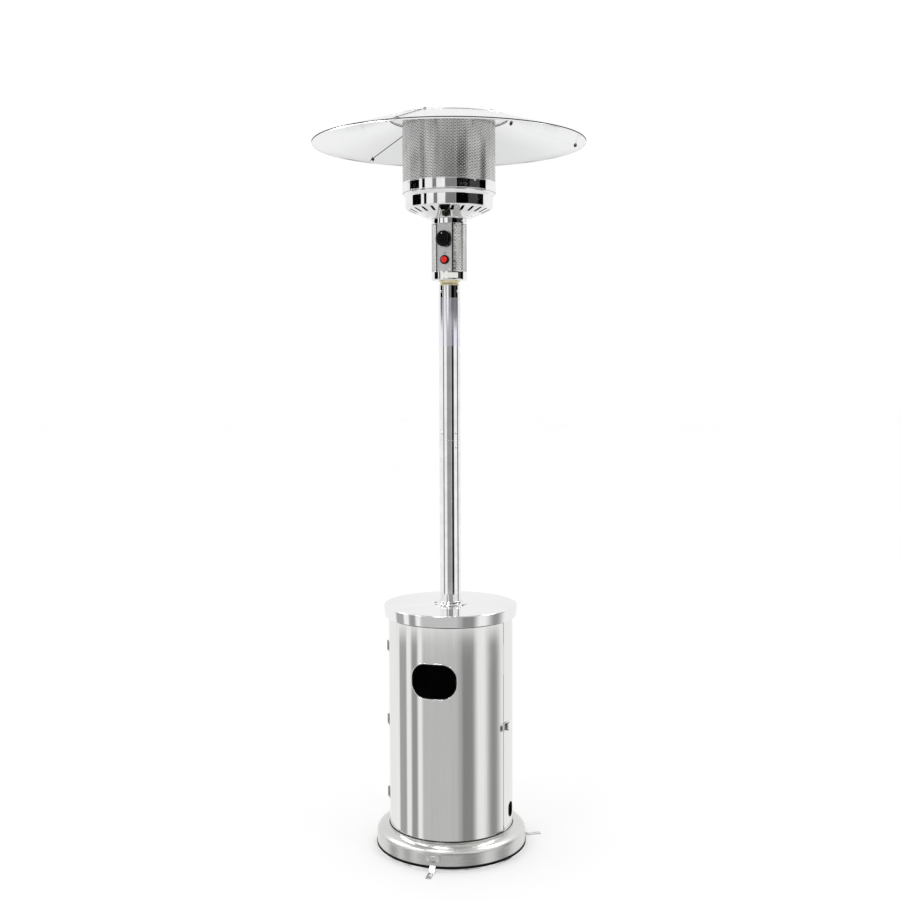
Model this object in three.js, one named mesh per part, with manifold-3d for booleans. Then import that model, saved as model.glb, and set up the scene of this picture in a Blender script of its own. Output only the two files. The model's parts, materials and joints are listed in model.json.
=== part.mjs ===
// A mushroom-type propane patio heater: a round bottle housing with a door, a two-piece post,
// a control housing, a burner head with an emitter screen, and a three-panel reflector.
// Millimetres, +Z up. The origin is the centre of the base, on the floor. The front is -Y.
// An azimuth is an angle about Z in degrees, from the front towards +X.
import * as THREE from "three";
import { mergeVertices } from "three/addons/utils/BufferGeometryUtils.js";
import Module from "manifold-3d";

const wasm = await Module();
wasm.setup();

// ---- Driving dimensions -------------------------------------------------------------------

const GAP = 0.3; // between pieces that touch
const SHEET = 1.2; // wall of the sheet-metal pieces
const PLATE = 3; // thickness of straps and flanges
const REFLECTOR_ROUND = 72; // sides of the reflector
const ROUND = 36; // sides of a large round piece
const SMALL_ROUND = 24; // sides of a middle-sized round piece
const TINY_ROUND = 8; // sides of a small round piece

// Base
const BASE_RIM_H = 8.2;
const BASE_RIM_W = 8;
const BASE_FLOOR_Z = 12;
const GASKET_H = 4.2;
const GASKET_PROUD = 1;
const SKIRT_WALL_H = 34;
const SKIRT_DOME_W = 35.8; // from the skirt's lip out to its wall
const SKIRT_DOME_H = 21;
const SKIRT_LIP_H = 3;
const SKIRT_TO_SHELL = 1.6; // radial gap between the skirt's inner lip and the shell
const DOME_STEPS = 3;

// Anchor clips
const ANCHOR_COUNT = 3;
const ANCHOR_AZ = -15;
const ANCHOR_PLATE_W = 44;
const ANCHOR_PLATE_H = 20;
const ANCHOR_STRAP_W = 17;
const ANCHOR_T = 2;
const ANCHOR_REACH = 60; // from the skirt's wall to the end of the foot
const ANCHOR_FOOT_L = 40;
const ANCHOR_HOLE_R = 4;

// Bottle housing
const SHELL_R = 189;
const SHELL_H = 678.5;
const SHELL_TUCK = 2; // how far the shell reaches down inside the skirt's lip
const DOOR_FROM_AZ = -90;
const DOOR_TO_AZ = 56;
const DOOR_SILL = 3; // above the skirt's lip
const DOOR_HEAD = 36.5; // below the shell's top
const DOOR_CLEARANCE = 2;
const WINDOW_AZ = -16;
const WINDOW_W = 138;
const WINDOW_H = 105;
const WINDOW_BELOW_SHELL_TOP = 143;
const WINDOW_CORNER = 45;
const TRIM_W = 2.5;
const TRIM_PROUD = 1.5;
const VENT_AZ = 72;
const VENT_W = 30;
const VENT_H = 41;
const VENT_ABOVE_SKIRT = 36;
const RING_W = 14; // flange of the stiffening rings
const RING_H = 24;

// Lid
const LID_OVERHANG = 13.6; // past the shell
const LID_SKIRT_H = 34;
const LID_EDGE = 2;
const GAS_HOLE_R = 20;

// Door hinges
const HINGE_COUNT = 3;
const HINGE_H = 30;
const HINGE_ABOVE_SILL = 87; // from the door's bottom edge to the middle of the first hinge
const HINGE_BELOW_HEAD = 91; // from the door's top edge to the middle of the last hinge
const BARREL_R = 2.8;
const PIN_R = 1.5;
const PIN_CLEARANCE = 0.3;
const LEAF_W = 21.4; // along the shell, from the hinge line
const LEAF_START = 3.6;
const KNEE_OVERLAP = 0.3; // of a knuckle's web into its leaf

// Draw latch
const LATCH_Z = 390;
const LATCH_FROM_SEAM = 23.1; // along the shell
const LATCH_HALF_W = 12;
const LATCH_HALF_H = 11;
const EAR_HALF_W = 3.6;
const EAR_PAST_PIN = 3.2;
const EAR_T = 1.5;
const LEVER_L = 28;
const LEVER_PIVOT_X = -6;
const LEVER_STANDOFF = 5.5; // from the shell to the lever's pin
const LEVER_BARREL_R = 2.4;
const BAIL_ARM = 8; // from the lever's pivot to the bail's pivot
const BAIL_R = 1;
const BAIL_ARM_R = 0.9;
const BAIL_FROM_SEAM = 3.6; // along the shell, to the bail's free bar
const KEEPER_FROM_SEAM = 8.6;
const KEEPER_W = 8;
const KEEPER_HOOK_H = 4;
const KEEPER_LIP = 2.5;

// Bottle frame
const STRAP_AZ = [-115, 95, 170];
const STRAP_W = 30;
const STRAP_TO_RING = 1.5; // inside the stiffening rings
const STRAP_FOOT = 32;
const STRAP_TO_GAS_HOLE = 25;

// Post
const POST_R = 32;
const POST_WALL = 1.5;
const LOWER_POST_L = 495.3;
const UPPER_POST_L = 463.8;
const COUPLING_L = 100;
const FLANGE_W = 19; // past the post
const FLANGE_BOSS_W = 6;
const FLANGE_BOSS_H = 7;

// Neck adapter between the post and the control housing
const NECK_TUBE_INSET = 12; // inside the post's face
const NECK_TUBE_L = 48;
const NECK_CONE_H = 16;
const NECK_TOP_PAST_POST = 1;
const NECK_FLANGE_INSET = 3; // inside the control housing's face

// Control housing
const CONTROL_R = 53;
const CONTROL_H = 182;
const PANEL_AZ = -17;
const PANEL_RECESS = 6.3; // from the housing's face to the panel's
const PANEL_Z = 25; // above the housing's bottom
const PANEL_H = 141;
const PANEL_SIDE_GAP = 0.6; // from the panel to the side of its opening
const PANEL_MARGIN = 3;
const KNOB_Z = 120;
const KNOB_SKIRT_R = 23.5;
const KNOB_CAP_R = 19.5;
const KNOB_SKIRT_T = 5;
const KNOB_CAP_T = 16;
const KNOB_FACE_T = 7; // in front of the stem
const KNOB_TRAVEL = 4;
const KNOB_CLEARANCE = 0.5; // from the pressed knob to the housing
const STEM_R = 4;
const STEM_HOLE_CLEARANCE = 1;
const STEM_IN_VALVE = 8;
const IGNITER_Z = 59;
const BUTTON_R = 9.4;
const BUTTON_L = 11;
const BUTTON_PROUD = 5;
const BUTTON_TRAVEL = 5;
const BUTTON_SPARE = 2; // behind the pressed button
const BEZEL_R = 13.5;
const BEZEL_T = 6;
const IGNITER_BARREL_R = 12;
const IGNITER_BARREL_L = 25;
const TILT_W = 20;
const TILT_T = 18;
const TILT_H = 30;
const TILT_ABOVE_FLOOR = 35;
const TILT_TO_WALL = 13.8;

// Valve and gas line
const VALVE_W = 28;
const VALVE_TO_AXIS = 6.5; // from the valve block's back to the post's axis
const VALVE_H = 36;
const VALVE_BEHIND_PANEL = 7;
const VALVE_JOIN = 1; // of the valve's arm into its block
const GAS_PIPE_R = 5;
const GAS_PIPE_DROP = 45; // below the lid's underside
const INLET_R = 9;
const INLET_STEM_R = 6.3;
const INLET_L = 40;
const JET_R = 5;
const JET_H = 16;

// Burner head
const BAND_INSET = 8.2; // inside the screen's face
const BAND_H = 33;
const BOWL_PAST_CONTROL = 9;
const BOWL_CONE_H = 29.7;
const BOWL_HOLE_PAST_MIXER = 12;
const BOWL_RIM_PROUD = 0.1; // past the screen's face
const BOWL_RIM_W = 1.9;
const CONE_WALL = 1.3; // measured upright
const STEP_H = 11;
const COLLAR_H = 31;
const SCREEN_R = 138.2;
const SCREEN_H = 186;
const SCREEN_TUCK = 8;
const SLOT_COUNT = 24;
const SLOT_TO_BAND = 8;
const SLOT_L = 25;
const SLOT_W = 8;
const MIXER_R = 12;
const MIXER_COLLAR_R = 20;
const MIXER_COLLAR_H = 11;
const MIXER_END_H = 5; // above its collar
const CUP_R = 56;
const CUP_H = 35;
const CUP_DOME_H = 6;
const THERMO_R = 1.5;
const THERMO_AZ = 46;
const THERMO_TO_CUP = 19;
const THERMO_BELOW_PLATE = 4;
const PILOT_R = 4;
const PILOT_H = 30;
const PILOT_AZ = 31.5;
const PILOT_TO_CUP = 17;
const PILOT_FOOT_W = 14;
const PILOT_FOOT_D = 10;
const PILOT_FOOT_H = 4;
const ELECTRODE_R = 1;
const ELECTRODE_SLEEVE_R = 4;
const ELECTRODE_SLEEVE_H = 18;
const ELECTRODE_AZ = 61.4;
const TOP_FLANGE_H = 12;

// Reflector
const REFLECTOR_R = 406.5;
const REFLECTOR_DROP = 70; // from the crown to the rim
const CROWN_PAST_SCREEN = 36.2;
const CROWN_BRIM = 28;
const CROWN_ABOVE_SCREEN = 4;
const RIM_LIP_H = 6;
const PANEL_COUNT = 3;
const FIRST_SEAM_AZ = -20;
const STUD_R = 3;
const STUD_INSET = 38.2; // inside the screen's face
const STUD_L = 20;
const STUD_AZ = 40;
const NUT_R = 7;
const NUT_H = 6;
const WING_L = 13;
const WING_H = 9;
const WING_T = 2;

// ---- Radii and heights worked out from the sizes above ------------------------------------

const baseR = SHELL_R + SKIRT_TO_SHELL + SHEET + SKIRT_DOME_W;
const lidR = SHELL_R + LID_OVERHANG;
const strapR = SHELL_R - SHEET - GAP - RING_W - STRAP_TO_RING;
const strapInnerR = GAS_HOLE_R + STRAP_TO_GAS_HOLE;
const flangeR = POST_R + FLANGE_W;
const neckTubeR = POST_R - NECK_TUBE_INSET;
const neckTopR = POST_R + NECK_TOP_PAST_POST;
const neckFlangeR = CONTROL_R - NECK_FLANGE_INSET;
const panelDepth = CONTROL_R - PANEL_RECESS; // from the axis to the panel's face
const bandR = SCREEN_R - BAND_INSET;
const bowlRimR = SCREEN_R + BOWL_RIM_PROUD;
const bowlBottomR = CONTROL_R + BOWL_PAST_CONTROL;
const bowlHoleR = MIXER_R + BOWL_HOLE_PAST_MIXER;
const slotToR = bandR - SLOT_TO_BAND;
const studCircleR = SCREEN_R - STUD_INSET;
const crownR = SCREEN_R + CROWN_PAST_SCREEN;
const onShell = (arc) => THREE.MathUtils.radToDeg(arc / SHELL_R);

const skirtBottomZ = BASE_RIM_H + GAP + GASKET_H + GAP;
const skirtTopZ = skirtBottomZ + SKIRT_WALL_H + SKIRT_DOME_H;
const shellBottomZ = skirtTopZ - SHELL_TUCK;
const shellTopZ = shellBottomZ + SHELL_H;
const doorBottomZ = skirtTopZ + SKIRT_LIP_H + DOOR_SILL;
const doorTopZ = shellTopZ - DOOR_HEAD;
const lidTopZ = shellTopZ + GAP + SHEET;
const flangeTopZ = lidTopZ + GAP + PLATE;
const lowerPostZ = flangeTopZ + GAP;
const upperPostZ = lowerPostZ + LOWER_POST_L + GAP;
const postTopZ = upperPostZ + UPPER_POST_L;
const controlZ = postTopZ + NECK_CONE_H - GAP - SHEET;
const controlTopZ = controlZ + CONTROL_H;
const bowlZ = controlTopZ + GAP;
const bandZ = bowlZ + BOWL_CONE_H;
const stepZ = bandZ + BAND_H;
const collarZ = stepZ + STEP_H;
const screenZ = collarZ + COLLAR_H - SCREEN_TUCK;
const screenTopZ = collarZ + COLLAR_H + SCREEN_H;
const crownZ = screenTopZ + CROWN_ABOVE_SCREEN;
const windowZ = shellTopZ - WINDOW_BELOW_SHELL_TOP - WINDOW_H / 2;
const seamAz = DOOR_TO_AZ;

// ---- Solids -------------------------------------------------------------------------------

// A closed three.js geometry as a manifold solid, with its faces turned out.
function solidOf(geometry) {
  const bare = geometry.index ? geometry.toNonIndexed() : geometry.clone();
  bare.deleteAttribute("normal");
  bare.deleteAttribute("uv");
  const merged = mergeVertices(bare, 1e-4);
  const index = merged.index.array;
  const out = [];
  const flipped = [];
  for (let i = 0; i < index.length; i += 3) {
    const [a, b, c] = [index[i], index[i + 1], index[i + 2]];
    if (a === b || b === c || c === a) continue;
    out.push(a, b, c);
    flipped.push(a, c, b);
  }
  const vertProperties = new Float32Array(merged.attributes.position.array);
  const build = (tris) =>
    new wasm.Manifold(
      new wasm.Mesh({ numProp: 3, vertProperties, triVerts: new Uint32Array(tris) }),
    );
  const solid = build(out);
  return solid.volume() > 0 ? solid : build(flipped);
}

function geometryOf(solid) {
  const mesh = solid.getMesh();
  const geometry = new THREE.BufferGeometry();
  geometry.setAttribute("position", new THREE.BufferAttribute(mesh.vertProperties, 3));
  geometry.setIndex(new THREE.BufferAttribute(mesh.triVerts, 1));
  geometry.computeVertexNormals();
  return geometry;
}

const joined = (...solids) => solids.reduce((sum, s) => sum.add(s));

// An outline of [radius, height] points turned about Z, closed on itself or on the axis.
function turned(outline, sides = ROUND) {
  const points = [...outline, outline[0]].map(([r, z]) => new THREE.Vector2(r, z));
  return solidOf(new THREE.LatheGeometry(points, sides).rotateX(Math.PI / 2));
}

function ring(inner, outer, low, high, sides = ROUND) {
  const outline = [
    [inner, low],
    [outer, low],
    [outer, high],
    [inner, high],
  ];
  return turned(outline, sides);
}

function block([x0, x1], [y0, y1], [z0, z1]) {
  const box = new THREE.BoxGeometry(x1 - x0, y1 - y0, z1 - z0);
  return solidOf(box.translate((x0 + x1) / 2, (y0 + y1) / 2, (z0 + z1) / 2));
}

// A round bar from one point to another.
function rod(from, to, radius, sides = TINY_ROUND) {
  const a = new THREE.Vector3(...from);
  const along = new THREE.Vector3(...to).sub(a);
  const bar = new THREE.CylinderGeometry(radius, radius, along.length(), sides);
  const turn = new THREE.Quaternion().setFromUnitVectors(
    new THREE.Vector3(0, 1, 0),
    along.clone().normalize(),
  );
  bar.applyQuaternion(turn);
  const middle = a.addScaledVector(along, 0.5);
  return solidOf(bar.translate(middle.x, middle.y, middle.z));
}

const upright = (x, y, low, high, radius, sides) => rod([x, y, low], [x, y, high], radius, sides);

// A flat shape in XY, raised from one height to another.
function raised(points, low, high) {
  const shape = new THREE.Shape(points.map(([x, y]) => new THREE.Vector2(x, y)));
  const options = { depth: high - low, bevelEnabled: false };
  return solidOf(new THREE.ExtrudeGeometry(shape, options).translate(0, 0, low));
}

const direction = (azimuth) => {
  const a = THREE.MathUtils.degToRad(azimuth);
  return [Math.sin(a), -Math.cos(a)];
};

// The space between two azimuths, its two faces moved inwards by an inset.
function sector(fromAz, toAz, inset) {
  const reach = 4 * REFLECTOR_R;
  const half = THREE.MathUtils.degToRad((toAz - fromAz) / 2);
  const [mx, my] = direction((fromAz + toAz) / 2);
  const shift = inset / Math.sin(half);
  const steps = Math.ceil((toAz - fromAz) / 30);
  const points = [[mx * shift, my * shift]];
  for (let i = 0; i <= steps; i++) {
    const [x, y] = direction(fromAz + ((toAz - fromAz) * i) / steps);
    points.push([x * reach + mx * shift, y * reach + my * shift]);
  }
  return raised(points, -1, 2 * crownZ);
}

const turnedBetween = (outline, fromAz, toAz, inset = 0, sides = ROUND) =>
  turned(outline, sides).intersect(sector(fromAz, toAz, inset));

// A solid moved from the front round to an azimuth.
const roundTo = (solid, azimuth) => solid.rotate([0, 0, azimuth]);

// An upright rounded rectangle through the front wall, pointing along -Y.
function windowTool(width, height, rounding, z, near, far) {
  const w = width / 2;
  const h = height / 2;
  const corner = Math.min(rounding, w - 1, h - 1);
  const shape = new THREE.Shape();
  shape.moveTo(-w + corner, -h);
  shape.lineTo(w - corner, -h);
  shape.absarc(w - corner, -h + corner, corner, -Math.PI / 2, 0);
  shape.lineTo(w, h - corner);
  shape.absarc(w - corner, h - corner, corner, 0, Math.PI / 2);
  shape.lineTo(-w + corner, h);
  shape.absarc(-w + corner, h - corner, corner, Math.PI / 2, Math.PI);
  shape.lineTo(-w, -h + corner);
  shape.absarc(-w + corner, -h + corner, corner, Math.PI, 1.5 * Math.PI);
  const options = { depth: far - near, bevelEnabled: false, curveSegments: 5 };
  const tool = new THREE.ExtrudeGeometry(shape, options);
  return solidOf(tool.rotateX(Math.PI / 2).translate(0, -near, z));
}

// ---- Finishes -----------------------------------------------------------------------------

const finish = (color, roughness, metalness) => ({ color, roughness, metalness });
const STEEL = finish(0xc4c3bf, 0.35, 1);
const CHROME = finish(0xdedede, 0.08, 1);
const ALUMINIUM = finish(0xe4e5e6, 0.3, 1);
const PLATED = finish(0xd9cfa4, 0.4, 1);
const BRASS = finish(0xb89a55, 0.35, 1);
const BLACK = finish(0x101012, 0.25, 0);
const RUBBER = finish(0x0c0c0c, 0.7, 0);
const RED = finish(0xd8231a, 0.3, 0);
const CERAMIC = finish(0xf0eee8, 0.5, 0);

const heater = new THREE.Group();
const controls = new THREE.Group();
controls.rotation.z = THREE.MathUtils.degToRad(PANEL_AZ);
heater.add(controls);

function add(name, solid, look, parent = heater) {
  const mesh = new THREE.Mesh(geometryOf(solid), new THREE.MeshStandardMaterial(look));
  mesh.name = name;
  parent.add(mesh);
  return mesh;
}

// A group turned about Z, for pieces that are built at the front and stand at an azimuth.
function groupAt(azimuth, parent = heater) {
  const group = new THREE.Group();
  group.rotation.z = THREE.MathUtils.degToRad(azimuth);
  parent.add(group);
  return group;
}

// ---- Base ---------------------------------------------------------------------------------

function basePlate() {
  const rimInner = baseR - BASE_RIM_W;
  const slope = BASE_FLOOR_Z - BASE_RIM_H;
  const outline = [
    [0, BASE_FLOOR_Z],
    [rimInner - slope - SHEET, BASE_FLOOR_Z],
    [rimInner - SHEET, BASE_RIM_H],
    [baseR, BASE_RIM_H],
    [baseR, 0],
    [rimInner, 0],
    [rimInner, BASE_RIM_H - PLATE],
    [rimInner - slope, BASE_FLOOR_Z - PLATE],
    [0, BASE_FLOOR_Z - PLATE],
  ];
  return turned(outline);
}

const gasket = () =>
  ring(
    baseR - BASE_RIM_W,
    baseR + GASKET_PROUD,
    BASE_RIM_H + GAP,
    BASE_RIM_H + GAP + GASKET_H,
  );

// The skirt: a wall, a quarter-elliptical dome up to the shell, and a turned-up lip.
function skirt() {
  const lipInner = SHELL_R + SKIRT_TO_SHELL;
  const lipOuter = lipInner + SHEET;
  const wallTop = skirtBottomZ + SKIRT_WALL_H;
  const dome = (inset) => {
    const points = [];
    for (let i = 0; i <= DOME_STEPS; i++) {
      const t = (i / DOME_STEPS) * (Math.PI / 2);
      const r = lipOuter + (baseR - lipOuter - inset) * Math.cos(t);
      points.push([r, wallTop + (SKIRT_DOME_H - inset) * Math.sin(t)]);
    }
    return points;
  };
  const outline = [
    [baseR - BASE_RIM_W, skirtBottomZ],
    [baseR, skirtBottomZ],
    ...dome(0),
    [lipOuter, skirtTopZ + SKIRT_LIP_H],
    [lipInner, skirtTopZ + SKIRT_LIP_H],
    [lipInner, skirtTopZ - SHEET],
    ...dome(SHEET).reverse(),
    [baseR - SHEET, skirtBottomZ + SHEET],
    [baseR - BASE_RIM_W, skirtBottomZ + SHEET],
  ];
  return turned(outline);
}

// A clip screwed to the skirt's wall, with a strap down to a foot that is screwed to the ground.
function anchorClip() {
  const wall = -(baseR + GAP);
  const face = wall - ANCHOR_T;
  const end = -(baseR + ANCHOR_REACH);
  const footStart = end + ANCHOR_FOOT_L;
  const plateZ = skirtBottomZ + SKIRT_WALL_H - ANCHOR_PLATE_H - PLATE;
  const half = ANCHOR_STRAP_W / 2;
  const plate = block(
    [-ANCHOR_PLATE_W / 2, ANCHOR_PLATE_W / 2],
    [face, wall],
    [plateZ, plateZ + ANCHOR_PLATE_H],
  );
  const strapSide = [
    [face, plateZ + PLATE],
    [face, skirtBottomZ + 2 * ANCHOR_T],
    [footStart, ANCHOR_T],
    [end, ANCHOR_T],
    [end, 0],
    [footStart + ANCHOR_T, 0],
    [wall, skirtBottomZ + ANCHOR_T],
    [wall, plateZ + PLATE],
  ];
  const strap = raised(strapSide, -half, half).rotate([90, 0, 90]);
  const hole = upright(0, (end + footStart) / 2, -1, ANCHOR_T + 1, ANCHOR_HOLE_R);
  return joined(plate, strap).subtract(hole);
}

add("base_plate", basePlate(), STEEL);
add("base_gasket", gasket(), RUBBER);
add("base_skirt", skirt(), STEEL);
for (let i = 0; i < ANCHOR_COUNT; i++) {
  const place = groupAt(ANCHOR_AZ + (360 / ANCHOR_COUNT) * i);
  add(`anchor_clip_${i + 1}`, anchorClip(), STEEL, place);
}

// ---- Bottle frame: three straps that carry the post above the bottle -------------------------

function strap() {
  const low = BASE_FLOOR_Z + GAP;
  const high = shellTopZ;
  const side = [
    [-(strapR - STRAP_FOOT), low],
    [-strapR, low],
    [-strapR, high],
    [-strapInnerR, high],
    [-strapInnerR, high - PLATE],
    [-(strapR - PLATE), high - PLATE],
    [-(strapR - PLATE), low + PLATE],
    [-(strapR - STRAP_FOOT), low + PLATE],
  ];
  return raised(side, -STRAP_W / 2, STRAP_W / 2).rotate([90, 0, 90]);
}

STRAP_AZ.forEach((azimuth, i) => add(`post_strap_${i + 1}`, strap(), STEEL, groupAt(azimuth)));

// ---- Bottle housing -------------------------------------------------------------------------

const shellOutline = (low, high) => [
  [SHELL_R - SHEET, low],
  [SHELL_R, low],
  [SHELL_R, high],
  [SHELL_R - SHEET, high],
];

function shell() {
  const back = turnedBetween(
    shellOutline(shellBottomZ, shellTopZ),
    DOOR_TO_AZ,
    DOOR_FROM_AZ + 360,
    DOOR_CLEARANCE / 2,
  );
  const ventZ = skirtTopZ + VENT_ABOVE_SKIRT + VENT_H / 2;
  const vent = windowTool(VENT_W, VENT_H, VENT_W / 2 - 1, ventZ, 0, lidR);
  return back.subtract(roundTo(vent, VENT_AZ));
}

// A ring of angle section just inside the shell, its flange at the bottom.
function stiffeningRing(low, high) {
  const outer = SHELL_R - SHEET - GAP;
  const outline = [
    [outer - RING_W, low],
    [outer, low],
    [outer, high],
    [outer - SHEET, high],
    [outer - SHEET, low + SHEET],
    [outer - RING_W, low + SHEET],
  ];
  return turned(outline);
}

function door() {
  const panel = turnedBetween(
    shellOutline(doorBottomZ, doorTopZ),
    DOOR_FROM_AZ,
    DOOR_TO_AZ,
    DOOR_CLEARANCE / 2,
  );
  const hole = windowTool(WINDOW_W, WINDOW_H, WINDOW_CORNER, windowZ, 0, lidR);
  return panel.subtract(roundTo(hole, WINDOW_AZ));
}

// Edging round the door's window: a curved band that follows the door, proud of its face.
function windowTrim() {
  const band = ring(
    SHELL_R - SHEET - TRIM_PROUD,
    SHELL_R + TRIM_PROUD,
    windowZ - WINDOW_H,
    windowZ + WINDOW_H,
  );
  const tool = (inset) =>
    windowTool(
      WINDOW_W - 2 * inset,
      WINDOW_H - 2 * inset,
      WINDOW_CORNER - inset,
      windowZ,
      SHELL_R / 2,
      lidR,
    );
  const edge = tool(GAP).subtract(tool(GAP + TRIM_W));
  return roundTo(edge, WINDOW_AZ).intersect(band);
}

function lid() {
  const low = lidTopZ - LID_SKIRT_H;
  const outline = [
    [GAS_HOLE_R, lidTopZ - SHEET],
    [lidR - SHEET - LID_EDGE, lidTopZ - SHEET],
    [lidR - SHEET, lidTopZ - SHEET - LID_EDGE],
    [lidR - SHEET, low],
    [lidR, low],
    [lidR, lidTopZ - LID_EDGE],
    [lidR - LID_EDGE, lidTopZ],
    [GAS_HOLE_R, lidTopZ],
  ];
  return turned(outline);
}

add("housing_shell", shell(), STEEL);
add("housing_bottom_ring", stiffeningRing(shellBottomZ, skirtTopZ + SKIRT_LIP_H), STEEL);
const topRingZ = doorTopZ + DOOR_CLEARANCE;
add("housing_top_ring", stiffeningRing(topRingZ, topRingZ + RING_H), STEEL);
add("door", door(), STEEL);
add("door_window_trim", windowTrim(), BLACK);
add("housing_lid", lid(), STEEL);

// ---- Door hinges ------------------------------------------------------------------------------

const barrelR = SHELL_R + GAP + BARREL_R;

// A curved leaf on the outside of the shell, between two distances from the hinge line.
function leaf(from, to, low, high) {
  const outline = [
    [SHELL_R + GAP, low],
    [SHELL_R + GAP + SHEET, low],
    [SHELL_R + GAP + SHEET, high],
    [SHELL_R + GAP, high],
  ];
  const [start, end] = [Math.min(from, to), Math.max(from, to)];
  return turnedBetween(outline, onShell(start), onShell(end));
}

// The shell's leaf carries the end knuckles and the pin, the door's leaf the middle knuckle.
function fixedLeaf(middle) {
  const low = middle - HINGE_H / 2;
  const high = middle + HINGE_H / 2;
  const kneeLow = middle - HINGE_H / 6;
  const kneeHigh = middle + HINGE_H / 6;
  return joined(
    leaf(-LEAF_START, -LEAF_W, low, high),
    leaf(0, -LEAF_START - KNEE_OVERLAP, low, kneeLow),
    leaf(0, -LEAF_START - KNEE_OVERLAP, kneeHigh, high),
    upright(0, -barrelR, low, kneeLow, BARREL_R),
    upright(0, -barrelR, kneeHigh, high, BARREL_R),
    upright(0, -barrelR, low, high, PIN_R),
  );
}

function doorLeaf(middle) {
  const low = middle - HINGE_H / 2;
  const high = middle + HINGE_H / 2;
  const kneeLow = middle - HINGE_H / 6 + GAP;
  const kneeHigh = middle + HINGE_H / 6 - GAP;
  return joined(
    leaf(LEAF_START, LEAF_W, low, high),
    leaf(0, LEAF_START + KNEE_OVERLAP, kneeLow, kneeHigh),
    upright(0, -barrelR, kneeLow, kneeHigh, BARREL_R),
  ).subtract(upright(0, -barrelR, low, high, PIN_R + PIN_CLEARANCE));
}

const firstHingeZ = doorBottomZ + HINGE_ABOVE_SILL;
const lastHingeZ = doorTopZ - HINGE_BELOW_HEAD;
const hingePitch = (lastHingeZ - firstHingeZ) / (HINGE_COUNT - 1);
for (let i = 0; i < HINGE_COUNT; i++) {
  const middle = firstHingeZ + hingePitch * i;
  const place = groupAt(DOOR_FROM_AZ);
  add(`hinge_leaf_fixed_${i + 1}`, fixedLeaf(middle), CHROME, place);
  add(`hinge_leaf_door_${i + 1}`, doorLeaf(middle), CHROME, place);
}

// ---- Draw latch -------------------------------------------------------------------------------

const latchAz = seamAz + onShell(LATCH_FROM_SEAM);
const leverPivot = [LEVER_PIVOT_X, -(SHELL_R + LEVER_STANDOFF)];
const bailPivot = [LEVER_PIVOT_X + BAIL_ARM, leverPivot[1]];
const latchSpan = (half) => [LATCH_Z - half, LATCH_Z + half];

// A plate on the shell with two ears that hold the lever's pin.
function latchBase() {
  const back = -(SHELL_R + GAP);
  const half = LATCH_HALF_H;
  const plate = block([-LATCH_HALF_W, LATCH_HALF_W], [back - SHEET, back], latchSpan(half));
  const earX = [leverPivot[0] - EAR_HALF_W, leverPivot[0] + EAR_HALF_W];
  const earY = [leverPivot[1] - EAR_PAST_PIN, back - SHEET / 2];
  return joined(
    plate,
    block(earX, earY, [LATCH_Z - half, LATCH_Z - half + EAR_T]),
    block(earX, earY, [LATCH_Z + half - EAR_T, LATCH_Z + half]),
    upright(...leverPivot, ...latchSpan(half - EAR_T / 2), PIN_R),
  );
}

function latchLever() {
  const half = LATCH_HALF_H - EAR_T - GAP;
  const top = leverPivot[1] - LEVER_BARREL_R;
  const sheet = block(
    [leverPivot[0], leverPivot[0] + LEVER_L],
    [top, top + SHEET],
    latchSpan(half),
  );
  const bore = upright(...leverPivot, ...latchSpan(half + 1), PIN_R + PIN_CLEARANCE);
  const bailBore = upright(...bailPivot, ...latchSpan(half + 1), BAIL_R + PIN_CLEARANCE);
  return joined(
    sheet,
    upright(...leverPivot, ...latchSpan(half), LEVER_BARREL_R),
    upright(...bailPivot, ...latchSpan(half), LEVER_BARREL_R),
  )
    .subtract(bore)
    .subtract(bailBore);
}

// Where the bail's free bar lies, in the latch's own frame.
function bailBar() {
  const [x, y] = direction(-onShell(LATCH_FROM_SEAM + BAIL_FROM_SEAM));
  const r = SHELL_R + GAP + SHEET + BAIL_R + GAP;
  return [x * r, y * r];
}

function latchBail() {
  const half = LATCH_HALF_H + BAIL_R + 2 * GAP;
  const [low, high] = latchSpan(half);
  const bar = bailBar();
  const reach = [low - BAIL_R, high + BAIL_R];
  return joined(
    upright(...bailPivot, ...reach, BAIL_R),
    upright(...bar, ...reach, BAIL_R),
    rod([...bailPivot, low], [...bar, low], BAIL_ARM_R),
    rod([...bailPivot, high], [...bar, high], BAIL_ARM_R),
  );
}

// The keeper on the door: a plate with a turned-up hook.
function latchKeeper() {
  const back = -(SHELL_R + GAP);
  const hook = back - KEEPER_HOOK_H;
  const hookSpan = latchSpan(LATCH_HALF_H - 4);
  return joined(
    block([-KEEPER_W, 1], [back - SHEET, back], latchSpan(LATCH_HALF_H - 2)),
    block([-SHEET, 0], [hook, back], hookSpan),
    block([-SHEET - KEEPER_LIP, 0], [hook, hook + SHEET], hookSpan),
  );
}

const latchPlace = groupAt(latchAz);
add("latch_base", latchBase(), CHROME, latchPlace);
add("latch_lever", latchLever(), CHROME, latchPlace);
add("latch_bail", latchBail(), CHROME, latchPlace);
add("latch_keeper", latchKeeper(), CHROME, groupAt(seamAz - onShell(KEEPER_FROM_SEAM)));

// ---- Post -------------------------------------------------------------------------------------

function postFlange() {
  const low = lidTopZ + GAP;
  const bossInner = POST_R + GAP;
  const outline = [
    [GAS_HOLE_R, low],
    [flangeR, low],
    [flangeR, flangeTopZ],
    [bossInner + FLANGE_BOSS_W, flangeTopZ],
    [bossInner + FLANGE_BOSS_W, flangeTopZ + FLANGE_BOSS_H],
    [bossInner, flangeTopZ + FLANGE_BOSS_H],
    [bossInner, flangeTopZ],
    [GAS_HOLE_R, flangeTopZ],
  ];
  return turned(outline, SMALL_ROUND);
}

const postTube = (low, length) =>
  ring(POST_R - POST_WALL, POST_R, low, low + length, SMALL_ROUND);

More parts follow.
